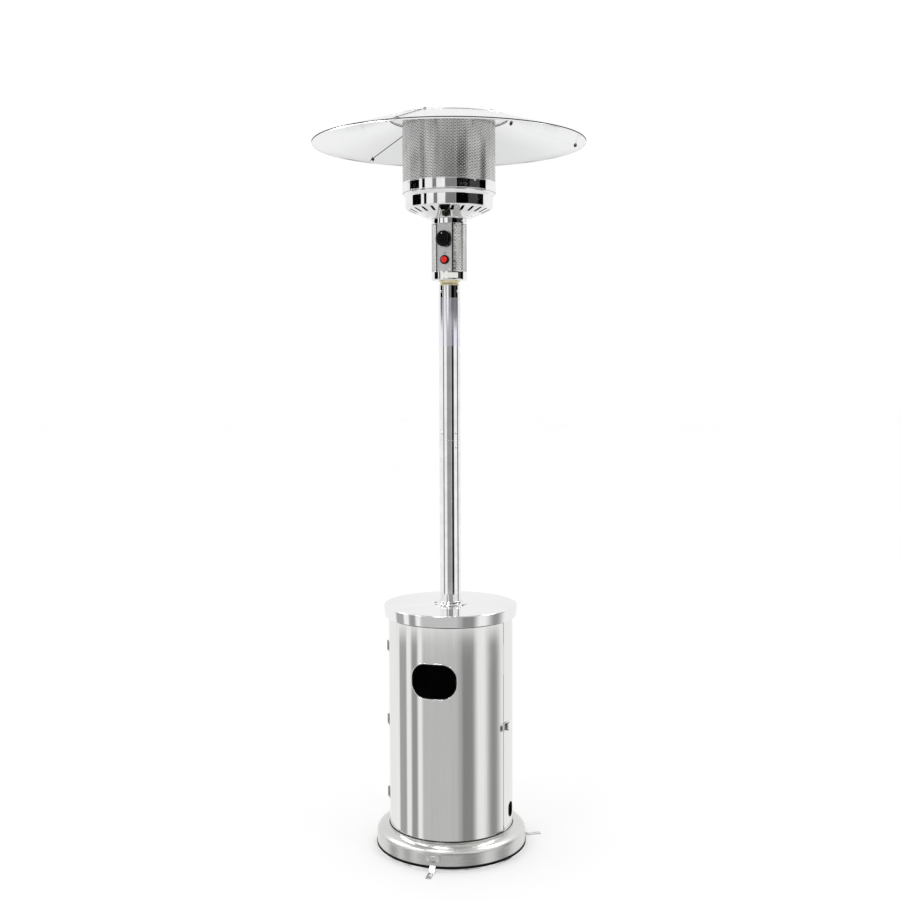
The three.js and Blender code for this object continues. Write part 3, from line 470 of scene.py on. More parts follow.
class Nodes:
    """A short way to add and link nodes in one tree."""

    def __init__(self, tree):
        self.tree = tree

    def add(self, kind, inputs=None, **settings):
        node = self.tree.nodes.new(kind)
        for key, value in settings.items():
            setattr(node, key, value)
        for key, value in (inputs or {}).items():
            if isinstance(value, bpy.types.NodeSocket):
                self.tree.links.new(value, node.inputs[key])
            else:
                node.inputs[key].default_value = value
        return node

    def link(self, output, socket):
        self.tree.links.new(output, socket)

    def noise(self, vector, scale, detail=4.0, roughness=0.55):
        inputs = {"Vector": vector, "Scale": scale, "Detail": detail, "Roughness": roughness}
        return self.add("ShaderNodeTexNoise", inputs).outputs["Fac"]

    def scaled(self, vector, scale):
        return self.add("ShaderNodeMapping", {"Vector": vector, "Scale": scale}).outputs[0]

    def math(self, operation, a, b=0.0):
        return self.add("ShaderNodeMath", {0: a, 1: b}, operation=operation).outputs[0]

    def spread(self, value, low, high, start=0.0, end=1.0, kind="LINEAR"):
        inputs = {"Value": value, "From Min": start, "From Max": end, "To Min": low, "To Max": high}
        return self.add("ShaderNodeMapRange", inputs, interpolation_type=kind).outputs["Result"]

    def ramp(self, value, stops):
        node = self.add("ShaderNodeValToRGB", {"Fac": value})
        ramp = node.color_ramp
        ramp.elements[0].position, ramp.elements[0].color = stops[0]
        ramp.elements[1].position, ramp.elements[1].color = stops[-1]
        for position, colour in stops[1:-1]:
            ramp.elements.new(position).color = colour
        return node.outputs["Color"]

    def mix(self, factor, a, b):
        node = self.add("ShaderNodeMix", data_type="RGBA")
        for socket, value in ((0, factor), (6, a), (7, b)):
            if isinstance(value, bpy.types.NodeSocket):
                self.tree.links.new(value, node.inputs[socket])
            else:
                node.inputs[socket].default_value = value
        return node.outputs[2]


def shader(name, metallic, **constants):
    material = bpy.data.materials.new(name)
    material.use_nodes = True
    bsdf = material.node_tree.nodes["Principled BSDF"]
    bsdf.inputs["Metallic"].default_value = metallic
    for key, value in constants.items():
        bsdf.inputs[key.replace("_", " ")].default_value = value
    return material, Nodes(material.node_tree), bsdf


def surface(nodes, bsdf, tone, shades, roughness, height, strength, distance):
    """Gives a shader its colour, roughness and relief, and returns the relief's node."""
    nodes.link(nodes.ramp(tone, shades), bsdf.inputs["Base Color"])
    nodes.link(roughness, bsdf.inputs["Roughness"])
    bump = {"Height": height, "Strength": strength, "Distance": distance}
    relief = nodes.add("ShaderNodeBump", bump)
    nodes.link(relief.outputs[0], bsdf.inputs["Normal"])
    return relief


def cylinder_coordinates(nodes):
    """The place, its three parts and its distance from the post's axis, in metres."""
    place = nodes.add("ShaderNodeTexCoord").outputs["Object"]
    parts = nodes.add("ShaderNodeSeparateXYZ", {0: place}).outputs
    distance = nodes.add(
        "ShaderNodeVectorMath",
        {0: nodes.add("ShaderNodeCombineXYZ", {0: parts[0], 1: parts[1]}).outputs[0]},
        operation="LENGTH",
    ).outputs["Value"]
    return place, parts, distance


def brushed(name, light, dark, rough, grain, bump, smudge=0.06, row=None):
    """Metal sheet: fine grain stretched by the grain scale, broad streaks and faint smudges.

    With row, the sheet is embossed in level rows of that height."""
    material, nodes, bsdf = shader(name, 1.0)
    place = nodes.add("ShaderNodeTexCoord").outputs["Object"]
    fine = nodes.noise(nodes.scaled(place, grain), 1.0, 5.0, 0.65)
    broad = nodes.noise(nodes.scaled(place, [g / 16 for g in grain]), 1.0, 3.0)
    marks = nodes.noise(place, 9.0, 5.0, 0.6)
    both = nodes.math("ADD", nodes.math("MULTIPLY", fine, 0.45), nodes.math("MULTIPLY", broad, 0.55))
    worn = nodes.math("ADD", nodes.spread(fine, rough * 0.8, rough * 1.25, 0.3, 0.7),
                      nodes.spread(marks, 0.0, smudge, 0.5, 0.75))
    shades = [(0.32, linear(*dark)), (0.68, linear(*light))]
    relief = surface(nodes, bsdf, both, shades, worn, fine, bump, 0.0002)
    if row:
        bands = {"Vector": place, "Scale": 2 * math.pi / (20 * row)}
        wave = nodes.add("ShaderNodeTexWave", bands, bands_direction="Z").outputs["Fac"]
        under = nodes.add("ShaderNodeBump", {"Height": wave, "Strength": 1.0, "Distance": row / 18})
        nodes.link(under.outputs[0], relief.inputs["Normal"])
    return material


def spun(name, light, dark, rough, rings):
    """Metal turned on the post's axis: concentric lines with faint smudges."""
    material, nodes, bsdf = shader(name, 1.0)
    place, parts, distance = cylinder_coordinates(nodes)
    line = nodes.add("ShaderNodeCombineXYZ", {0: distance, 1: parts[2]}).outputs[0]
    fine = nodes.noise(line, rings, 5.0, 0.7)
    wide = nodes.noise(place, 5.0, 3.0)
    both = nodes.math("ADD", nodes.math("MULTIPLY", fine, 0.4), nodes.math("MULTIPLY", wide, 0.6))
    shades = [(0.35, linear(*dark)), (0.65, linear(*light))]
    gloss = nodes.spread(both, rough * 0.75, rough * 1.3, 0.35, 0.65)
    surface(nodes, bsdf, both, shades, gloss, fine, 0.1, 0.0002)
    return material


def chrome(name):
    """Mirror-polished thin sheet: slow waves, faint haze and finger marks."""
    material, nodes, bsdf = shader(name, 1.0)
    place = nodes.add("ShaderNodeTexCoord").outputs["Object"]
    haze = nodes.noise(place, 26.0, 6.0, 0.65)
    wave = nodes.noise(nodes.scaled(place, (7.0, 7.0, 5.0)), 1.0, 1.0)
    shades = [(0.35, linear(0.93)), (0.6, linear(0.985))]
    gloss = nodes.spread(haze, 0.02, 0.09, 0.45, 0.75)
    surface(nodes, bsdf, haze, shades, gloss, wave, 0.25, 0.002)
    return material


def moulded(name, light, dark, rough, scale, bump, metallic=0.0, **constants):
    """Plastic, rubber, paint or plating: mottled colour, uneven gloss and a fine skin."""
    material, nodes, bsdf = shader(name, metallic, **constants)
    place = nodes.add("ShaderNodeTexCoord").outputs["Object"]
    mottle = nodes.noise(place, scale / 14, 5.0, 0.6)
    skin = nodes.noise(place, scale, 3.0)
    shades = [(0.35, linear(*dark)), (0.68, linear(*light))]
    gloss = nodes.spread(mottle, rough * 0.8, rough * 1.3, 0.3, 0.7)
    surface(nodes, bsdf, mottle, shades, gloss, skin, bump, 0.0003)
    return material


UPRIGHT = (520.0, 520.0, 9.0)  # grain that runs up and down
LEVEL = (10.0, 10.0, 1300.0)  # grain that runs round
STEEL = (brushed("steel_brushed_upright", (0.96, 0.96, 0.955), (0.9, 0.9, 0.89),
                 0.06, UPRIGHT, 0.05, 0.04), "brushed_stainless")
DOME = (spun("steel_spun_dome", (0.89, 0.89, 0.88), (0.83, 0.83, 0.82), 0.26, 60.0),
        "brushed_stainless")
PANEL = (brushed("panel_steel", (0.92,), (0.84,),
                 0.24, UPRIGHT, 0.06), "brushed_stainless")
STEEL_SPUN = (spun("steel_spun", (0.985,), (0.94,), 0.07, 700.0),
              "brushed_stainless")
SCREEN = (brushed("screen_steel", (0.97, 0.97, 0.965), (0.74, 0.74, 0.73),
                  0.14, (60.0, 60.0, 10.0), 0.2, row=4.35 * MM), "brushed_stainless")
HARDWARE = (brushed("hardware_zinc", (0.84, 0.84, 0.83), (0.6,),
                    0.2, (60.0, 60.0, 60.0), 0.1), "polished_chrome")
# painted shade: a dark grey for the shadow lines along the reflector's rim, seams and inner edge, and
# for the nuts beneath it
SEAM_SHADE = (brushed("painted_seam_shade", (0.34,), (0.22,),
                0.5, (90.0, 90.0, 90.0), 0.1), "reflector_aluminium")
INNER = (brushed("inner_steel", (0.62,), (0.5,),
                 0.35, UPRIGHT, 0.1), "brushed_stainless")
CHROME = (chrome("chrome_polished"), "polished_chrome")
ALUMINIUM = (spun("aluminium_rolled", (0.99, 0.99, 0.992), (0.965, 0.968, 0.97), 0.2, 260.0),
             "reflector_aluminium")
PLATED = (moulded("cream_plating", (0.93, 0.9, 0.8), (0.84, 0.79, 0.64), 0.22, 420.0, 0.1, 0.75),
          "plated_steel")
BRASS = (brushed("brass_machined", (0.88, 0.76, 0.5), (0.74, 0.6, 0.34), 0.28, LEVEL, 0.15),
         "brass")
RUBBER = (moulded("black_rubber", (0.07,), (0.03,), 0.6, 900.0, 0.3,
                  Specular_IOR_Level=0.15), "black_rubber")
# painted shade: a dark grey that stands in for the shade on the inner side of the housing, door and
# bowl walls
INSIDE_SHADE = (moulded("painted_inner_wall_shade", (0.25,), (0.16,), 0.6, 300.0, 0.2,
                Specular_IOR_Level=0.2), "brushed_stainless")
PLASTIC = (moulded("black_plastic", (0.06, 0.06, 0.07), (0.02, 0.02, 0.03), 0.12, 700.0, 0.06,
                   Specular_IOR_Level=0.12), "black_plastic")
RED = (moulded("red_plastic", (0.88, 0.16, 0.1), (0.76, 0.08, 0.05), 0.16, 700.0, 0.06),
       "red_plastic")
CERAMIC = (moulded("white_ceramic", (0.97, 0.96, 0.93), (0.9, 0.88, 0.84), 0.3, 500.0, 0.12),
           "white_ceramic")
FILM = (moulded("label_film", (0.99, 0.985, 1.0), (0.93, 0.92, 0.96), 0.05, 60.0, 0.05, 0.82),
        "white_ceramic")
STICKER = (moulded("blank_plate", (0.95, 0.95, 0.93), (0.88, 0.88, 0.86), 0.3, 90.0, 0.1),
           "white_ceramic")


# ---- Base -------------------------------------------------------------------------------------

SKIRT_WALL_H = 34
SKIRT_TO_SHELL = 1.6
CLIP_T = 2
CLIP_PLATE = (44, 20)
CLIP_STRAP_W = 17


def base_plate():
    rim, high = outer("base_plate"), top("base_plate")
    rim_top = low("base_gasket") - GAP
    outline = rounded([
        (0, high), (100, high), (104, high - 2, 1.5), (112, high - 2, 1.5), (116, high, 1),
        (rim - 13, high, 3), (rim - 9.2, rim_top, 2), (rim, rim_top, 3.9), (rim, 0, 3.9),
        (rim - 8, 0, 2), (rim - 8, rim_top - 3, 1), (rim - 12, high - 3, 2), (0, high - 3),
    ])
    turned_piece("base_plate_rolled", outline, CHROME, replaces=["base_plate"])


def base_gasket():
    proud = outer("base_gasket") + 0.9
    z0, z1 = low("base_gasket") - 0.3, top("base_gasket") + 1.6
    back = proud - 1.8
    outline = wall_outline(back, proud, z0, z1, 0.5, 1.8, 6)
    turned_piece("base_gasket_band", outline, RUBBER, replaces=["base_gasket"])


def base_skirt():
    wall, z0, high = outer("base_skirt"), low("base_skirt"), top("base_skirt")
    lip_in = SHELL_R + SKIRT_TO_SHELL
    lip_out = lip_in + SHEET
    wall_top = z0 + SKIRT_WALL_H
    dome_top = high - 3

    def dome(thick):
        points = []
        for i in range(25):
            t = math.pi / 2 * i / 24
            r = lip_out + (wall - lip_out - thick) * math.cos(t)
            points.append((r, wall_top + (dome_top - wall_top - thick) * math.sin(t)))
        return points

    outline = rounded([
        (wall - 8, z0), (wall, z0, 1.6), *dome(0), (lip_out, high - 0.4, 0.4),
        (lip_in, high - 0.4, 0.4), (lip_in, dome_top - SHEET), *reversed(dome(SHEET)),
        (wall - SHEET, z0 + SHEET), (wall - 8, z0 + SHEET),
    ], 4)
    turned_piece("base_skirt_dome", outline, DOME, replaces=["base_skirt"])


def anchor_clip(index):
    node = f"anchor_clip_{index}"
    azimuth = azimuth_of(node)
    place = at_azimuth(azimuth)
    wall = outer("base_skirt") + GAP
    face = wall + CLIP_T
    hi = corners_of(node)[1]
    reach = outer("base_skirt") + 60
    foot = reach - 40
    plate_z = hi.z - CLIP_PLATE[1] / 2
    bm = bmesh.new()
    upright = Matrix.Translation((0, -wall, plate_z)) @ QUARTER
    slab(bm, round_rect(*CLIP_PLATE, 2.5, 4), 0, CLIP_T, 0.5, place @ upright)
    bend_z = low("base_skirt") + 2 * CLIP_T
    piece(f"anchor_clip_{index}_plate", bm, PANEL, replaces=[node])
    bm = bmesh.new()
    side = rounded([
        (face, plate_z - 4), (face, bend_z, 5), (foot, CLIP_T, 5), (reach, CLIP_T, 0.8),
        (reach, 0, 0.8), (foot + CLIP_T, 0, 5), (wall, bend_z - CLIP_T, 5), (wall, plate_z - 4),
    ])
    across = Matrix(((0, 0, 1, 0), (-1, 0, 0, 0), (0, 1, 0, 0), (0, 0, 0, 1)))
    half = CLIP_STRAP_W / 2
    slab(bm, side, -half, half, 0.4, place @ across)
    hole = bmesh.new()
    bore = place @ Matrix.Translation((0, -(reach + foot) / 2, 0))
    turned(hole, [(0, -5), (4, -5), (4, 9), (0, 9)], TINY, place=bore)
    piece(f"anchor_clip_{index}_strap", bm, PANEL, tools=[hole])
    spots = [place @ Matrix.Translation((x, -face, plate_z)) @ QUARTER for x in (-14, 14)]
    screws(f"anchor_clip_{index}_screws", spots, 3.4, 1.8, CHROME)


# ---- Bottle housing ---------------------------------------------------------------------------

DOOR_TO_AZ = 56.0
DOOR_FROM_AZ = -90.0
SEAM_DEG = math.degrees(1 / SHELL_R)  # half of the gap beside the door
VENT = (30, 41)
VENT_AZ = 72.0
TRIM_W = 2.5
WINDOW = (138, 105, 45)


def sheet_wall(z0, z1):
    return wall_outline(SHELL_R - SHEET, SHELL_R, z0, z1, 0.55, 0.55, 4)


def through_wall(outline, azimuth, z):
    """A cutting tool: an outline pushed through the wall at an azimuth."""
    tool = bmesh.new()
    slab(tool, outline, -60, 30, place=facing(azimuth, SHELL_R, z))
    return tool


def divided(outline, longest):
    """The same outline with no side longer than longest."""
    out = []
    for a, b in zip(outline, outline[1:] + outline[:1]):
        parts = max(1, math.ceil(math.dist(a, b) / longest))
        for k in range(parts):
            out.append((a[0] + (b[0] - a[0]) * k / parts, a[1] + (b[1] - a[1]) * k / parts))
    return out


def edging(bm, outline, azimuth, z, section):
    """A moulding that follows an outline bent round the housing."""
    outline = divided(outline, 3)
    path = []
    count = len(outline)
    points = []
    for x, y in outline:
        turn = azimuth + math.degrees(math.asin(x / SHELL_R))
        points.append((direction(turn) * SHELL_R + Vector((0, 0, z + y)), direction(turn)))
    for i, (point, out) in enumerate(points):
        along = (points[(i + 1) % count][0] - points[i - 1][0]).normalized()
        path.append((point, out, along.cross(out).normalized()))
    swept(bm, path, section, closed=True)


def housing():
    z0, z1 = low("housing_shell"), top("housing_shell")
    bm = bmesh.new()
    turned(bm, sheet_wall(z0, z1), ROUND, DOOR_TO_AZ + SEAM_DEG, DOOR_FROM_AZ + 360 - SEAM_DEG)
    vent_z = top("base_skirt") - 3 + 36 + VENT[1] / 2
    vent = round_rect(*VENT, 14)
    piece("housing_wall", bm, STEEL, replaces=["housing_shell"],
          tools=[through_wall(vent, VENT_AZ, vent_z)], inside=INSIDE_SHADE)
    bm = bmesh.new()
    edging(bm, vent, VENT_AZ, vent_z, wall_outline(-2.2, 1.6, -1, 2.2, 0.8, 0.8))
    piece("vent_grommet", bm, RUBBER)
    inner = SHELL_R - SHEET - GAP
    for node, name in (("housing_bottom_ring", "ring_bottom"), ("housing_top_ring", "ring_top")):
        low_z, high_z = low(node), top(node)
        bm = bmesh.new()
        turned(bm, rounded([
            (inner - 14, low_z, 0.5), (inner, low_z, 1.5), (inner, high_z, 0.5),
            (inner - SHEET, high_z, 0.5), (inner - SHEET, low_z + SHEET, 0.8),
            (inner - 14, low_z + SHEET, 0.5),
        ], 3))
        piece(f"housing_{name}_angle", bm, INNER, replaces=[node])
    bm = bmesh.new()
    slab(bm, round_rect(11, 14, 2, 4), GAP, 1.2, 0.3,
         facing(DOOR_TO_AZ + 2.6, SHELL_R, top("base_skirt") + 11))
    screw(bm, facing(DOOR_TO_AZ + 2.6, SHELL_R + 1.2, top("base_skirt") + 11),
          2.6, 1.4)
    piece("seam_tab", bm, CHROME)


def door():
    z0, z1 = low("door"), top("door")
    start, end = DOOR_FROM_AZ + SEAM_DEG, DOOR_TO_AZ - SEAM_DEG
    bm = bmesh.new()
    turned(bm, sheet_wall(z0, z1), ROUND, start, end)
    window_z = middle("door_window_trim").z
    window_az = azimuth_of("door_window_trim")
    window = round_rect(*WINDOW, 16)
    piece("door_panel", bm, STEEL, "door", ["door"],
          [through_wall(window, window_az, window_z)], INSIDE_SHADE)
    bm = bmesh.new()
    inner = SHELL_R - SHEET
    for edge_z, way in ((z0, 1), (z1, -1)):
        turned(bm, rounded([
            (inner - 6, edge_z + way * 0.6, 0.4), (inner - 0.1, edge_z + way * 0.6),
            (inner - 0.1, edge_z + way * 1.8), (inner - 6, edge_z + way * 1.8, 0.4),
        ], 3), ROUND, start + 3, end - 3)
    piece("door_return_edges", bm, INNER, "door")
    for name, look, near, far, proud in (("edging", CHROME, -1, TRIM_W - 0.9, 1.5),
                                         ("seal", RUBBER, -4.2, -1.1, 0.8)):
        bm = bmesh.new()
        section = wall_outline(-2.6, proud, near, far, 0.6, 0.9, 4)
        edging(bm, window, window_az, window_z, section)
        old = ["door_window_trim"] if look is CHROME else []
        piece(f"door_window_{name}", bm, look, "door", old)


def lid():
    radius, z0, z1 = outer("housing_lid"), low("housing_lid"), top("housing_lid")
    hole = 20
    lean = 2.6  # the skirt draws in towards its hem
    outline = rounded([
        (hole, z1 - SHEET), (radius - 5, z1 - SHEET, 3.5), (radius - lean - SHEET, z0 + 2.4),
        (radius - lean - 2.6, z0 + 2.4, 0.6), (radius - lean - 2.6, z0, 1), (radius - lean, z0, 1),
        (radius, z1 - 2, 2), (radius - 2, z1, 4.5), (100, z1), (hole, z1),
    ], 12)
    turned_piece("housing_lid_cap", outline, STEEL_SPUN, replaces=["housing_lid"], sides=288)


def hinge(index):
    fixed, moving = f"hinge_leaf_fixed_{index}", f"hinge_leaf_door_{index}"
    z = middle(fixed).z
    half = (top(fixed) - low(fixed)) / 2
    knee = half / 3
    barrel = 2.8
    pin_r = 1.5
    axis = SHELL_R + GAP + barrel
    spot = at_azimuth(DOOR_FROM_AZ) @ Matrix.Translation((0, -axis, 0))
    leaf = (SHELL_R + GAP, SHELL_R + GAP + SHEET)

    def plate(bm, start, end, z0, z1):
        turned(bm, wall_outline(*leaf, z0, z1, 0.35, 0.35), 720,
               DOOR_FROM_AZ + start, DOOR_FROM_AZ + end)

    def knuckle(bm, z0, z1, bore):
        turned(bm, wall_outline(bore, barrel, z0, z1, 0, 0.4), TINY, place=spot)

    bm = bmesh.new()
    plate(bm, -6.5, -1.1, z - half, z + half)
    for z0, z1 in ((z - half, z - knee), (z + knee, z + half)):
        plate(bm, -1.2, 0, z0, z1)
        knuckle(bm, z0, z1, 0)
    turned(bm, rounded([
        (0, z - half - 0.8), (2, z - half - 0.8, 0.8), (2, z - half + 1), (pin_r, z - half + 1),
        (pin_r, z + half - 1), (2, z + half - 1), (2, z + half + 0.8, 0.8), (0, z + half + 0.8),
    ], 4), TINY, place=spot)
    for dz in (-9, 9):
        screw(bm, facing(DOOR_FROM_AZ - 4, leaf[1], z + dz), 2.2, 1.1)
    piece(f"hinge_{index}_fixed_leaf", bm, HARDWARE, replaces=[fixed])
    bm = bmesh.new()
    plate(bm, 1.1, 6.5, z - half, z + half)
    plate(bm, 0, 1.2, z - knee + GAP, z + knee - GAP)
    knuckle(bm, z - knee + GAP, z + knee - GAP, pin_r + GAP)
    for dz in (-9, 9):
        screw(bm, facing(DOOR_FROM_AZ + 4, leaf[1], z + dz), 2.2, 1.1)
    piece(f"hinge_{index}_door_leaf", bm, HARDWARE, "door", [moving])


# ---- Draw latch -------------------------------------------------------------------------------

def latch():
    azimuth = azimuth_of("latch_base")
    z = middle("latch_base").z
    half = (top("latch_base") - low("latch_base")) / 2
    back = SHELL_R + GAP
    place = at_azimuth(azimuth, z)
    lever_at = place.inverted() @ Vector(JOINTS["latch_lever_swing"]["pos_m"]) / MM
    bail_at = place.inverted() @ Vector(JOINTS["latch_bail_swing"]["pos_m"]) / MM
    on_wall = place @ Matrix.Translation((0, -back, 0)) @ QUARTER

    bm = bmesh.new()
    slab(bm, round_rect(24, 2 * half, 3, 5), 0, SHEET, 0.35, on_wall)
    ear_top = -lever_at.y - back + 3
    ear = rounded([(-3.5, 0), (3.5, 0), (3.5, ear_top, 3.2),
                   (-3.5, ear_top, 3.2)], 6)
    upright = Matrix(((1, 0, 0, lever_at.x), (0, -1, 0, -back), (0, 0, -1, 0), (0, 0, 0, 1)))
    for z0 in (-half, half - 1.5):
        slab(bm, ear, z0, z0 + 1.5, 0.25, place @ upright)
    pin = place @ Matrix.Translation((lever_at.x, lever_at.y, 0))
    turned(bm, rounded([
        (0, -half - 0.9), (2, -half - 0.9, 0.8), (2, -half), (1.4, -half), (1.4, half), (2, half),
        (2, half + 0.9, 0.8), (0, half + 0.9),
    ], 3), TINY, place=pin)
    for x in (-9, 9):
        screw(bm, on_wall @ Matrix.Translation((x, 0, SHEET)), 2, 0.9)
    piece("latch_base_plate", bm, HARDWARE, replaces=["latch_base"])

    reach = half - 1.5 - GAP
    bm = bmesh.new()
    front = -lever_at.y + 2.4
    side = rounded([
        (lever_at.x, front, 1.2), (lever_at.x + 22, front, 8), (lever_at.x + 28, front - 0.2, 0.4),
        (lever_at.x + 28, front - 1.3, 0.4), (lever_at.x + 22, front - SHEET, 6),
        (lever_at.x, front - SHEET, 0.4),
    ], 5)
    flat = Matrix(((1, 0, 0, 0), (0, -1, 0, 0), (0, 0, -1, 0), (0, 0, 0, 1)))
    slab(bm, side, -reach, reach, 0.3, place @ flat)
    for pivot, bore in ((lever_at, 1.8), (bail_at, 1.3)):
        spot = place @ Matrix.Translation((pivot.x, pivot.y, 0))
        turned(bm, wall_outline(bore, 2.4, -reach, reach, 0, 0.3), TINY, place=spot)
    piece("latch_lever_plate", bm, CHROME, "latch_lever", ["latch_lever"])

    bar_r = back + SHEET + 1.3
    lean = math.radians(azimuth_of("latch_bail") - azimuth)
    box = corners_of("latch_bail")
    rise = (box[1].z - box[0].z) / 2 - 1
    far = min((place.inverted() @ Vector((x, y, z)) for x in (box[0].x, box[1].x)
               for y in (box[0].y, box[1].y)), key=lambda p: p.x)
    turn = math.asin(max(-1.0, (far.x + 1.6) / bar_r)) if lean else 0.0
    bar = Vector((bar_r * math.sin(turn), -bar_r * math.cos(turn), 0))
    pivot = Vector((bail_at.x, bail_at.y, 0))
    corners = [pivot, bar]
    loop = []
    for a, b in (((0, -1), (1, -1)), ((1, -1), (1, 1)), ((1, 1), (0, 1)), ((0, 1), (0, -1))):
        p = corners[a[0]] + Vector((0, 0, a[1] * rise))
        q = corners[b[0]] + Vector((0, 0, b[1] * rise))
        for k in range(1, 9):
            loop.append(place @ p.lerp(q, 0.06 + 0.88 * (k - 1) / 7))
    bm = bmesh.new()
    wire(bm, loop, 0.95, 14, closed=True)
    piece("latch_bail_wire", bm, CHROME, "latch_bail", ["latch_bail"])

    keeper_az = azimuth_of("latch_keeper")
    spot = at_azimuth(keeper_az, z)
    wall = spot @ Matrix.Translation((0, -back, 0)) @ QUARTER
    bm = bmesh.new()
    slab(bm, round_rect(9, 18, 1.6, 4), 0, SHEET, 0.3, wall)
    hook = rounded([
        (1.9, 0.6), (1.9, 3.9, 1.5), (-1.5, 3.9, 0.4), (-1.5, 2.9, 0.4), (0.9, 2.9, 0.8),
        (0.9, 0.6),
    ], 4)
    raise_up = Matrix(((1, 0, 0, 1.6), (0, 0, 1, 0), (0, 1, 0, 0), (0, 0, 0, 1)))
    slab(bm, hook, -6.5, 6.5, 0.2, wall @ raise_up)
    for dy in (-6.6, 6.6):
        screw(bm, wall @ Matrix.Translation((-2, dy, SHEET)), 1.6, 0.8)
    piece("latch_keeper_hook", bm, HARDWARE, "door", ["latch_keeper"])


# ---- Post -------------------------------------------------------------------------------------

def post():
    wall = 1.5
    for node in ("post_lower", "post_upper"):
        outline = wall_outline(POST_R - wall, POST_R, low(node), top(node), 0.4, 0.5)
        turned_piece(f"{node}_tube", outline, CHROME, replaces=[node], sides=SMALL)
    node = "post_coupling"
    outline = wall_outline(outer(node) - wall, outer(node), low(node), top(node), 0.4, 0.6)
    turned_piece("post_coupling_sleeve", outline, STEEL, replaces=[node], sides=SMALL)
    joint_z = low("post_upper")
    neck_z = top("post_upper") - 19
    rows = ((joint_z + 21, (35, -47, 155)), (joint_z - 22, (35, -145)), (neck_z, (-55, 50, 180)))
    spots = [facing(azimuth, POST_R - 0.2, z) for z, around in rows for azimuth in around]
    screws("post_screws", spots, 3.6, 2, CHROME)
    bm = bmesh.new()
    z0, z1 = top("post_upper") - 181, top("post_upper") - 38
    film = POST_R + 0.25
    turned(bm, wall_outline(POST_R + 0.02, film, z0, z1, 0, 0.1, 2), SMALL, -168, 172)
    piece("post_wrap_blank", bm, FILM)


def post_flange():
    radius, z0, z1 = outer("post_flange"), low("post_flange"), top("post_flange")
    plate_z = z0 + 3
    boss_in = POST_R + GAP
    boss_out = boss_in + 6
    outline = rounded([
        (20, z0), (radius, z0, 0.6), (radius, plate_z, 1.6), (boss_out + 1, plate_z, 2.2),
        (boss_out, z1, 1.8), (boss_in, z1, 0.8), (boss_in, plate_z), (20, plate_z),
    ], 6)
    turned_piece("post_flange_cast", outline, CHROME, replaces=["post_flange"], sides=144)
    spots = [Matrix.Translation(direction(azimuth) * 45 + Vector((0, 0, plate_z)))
             for azimuth in (35, 155, 275)]
    screws("post_flange_screws", spots, 3.6, 2.2, HARDWARE)


def neck():
    node = "neck_adapter"
    z0, z1 = low(node), top(node)
    cone_z = top("post_upper") - GAP
    tube = 20
    wall = 1.5
    cone_top = z1 - wall
    outline = rounded([
        (tube - wall, z0, 0.4), (tube, z0, 0.4), (tube, cone_z - 3, 4), (31, cone_top - 5, 5),
        (33, cone_top, 1), (outer(node), cone_top, 0.5), (outer(node), z1, 0.5), (32, z1, 1),
        (29.5, cone_top - 4, 4), (tube - wall, cone_z - 2, 4),
    ], 5)
    turned_piece("neck_cone", outline, PLATED, replaces=[node], sides=SMALL)
    turned_piece("neck_collar_ring", rounded([
        (tube + 0.4, cone_z + GAP, 0.5), (POST_R - 1, cone_z + GAP, 1),
        (POST_R - 2.5, cone_z + 3.6, 1.6), (tube + 0.4, cone_z + 5, 1),
    ], 4), PLATED, sides=SMALL)


# ---- Control housing --------------------------------------------------------------------------

PANEL_AZ = azimuth_of("control_panel")
PANEL_FACE = 46.7
SLEEVE_ROWS, SLEEVE_COLUMNS, SLEEVE_SLOT = 26, 26, (7.6, 2.7)
SLEEVE_MARGIN_DEG = 5  # between the sleeve's last slots and the panel's opening
OPENING_HALF_W = 21.6
OPENING_HALF_DEG = math.degrees(math.asin(OPENING_HALF_W / CONTROL_R))


def on_panel(z, depth=PANEL_FACE):
    """A frame on the panel's face at a height, its own Z pointing out of the panel."""
    return facing(PANEL_AZ, depth, z)


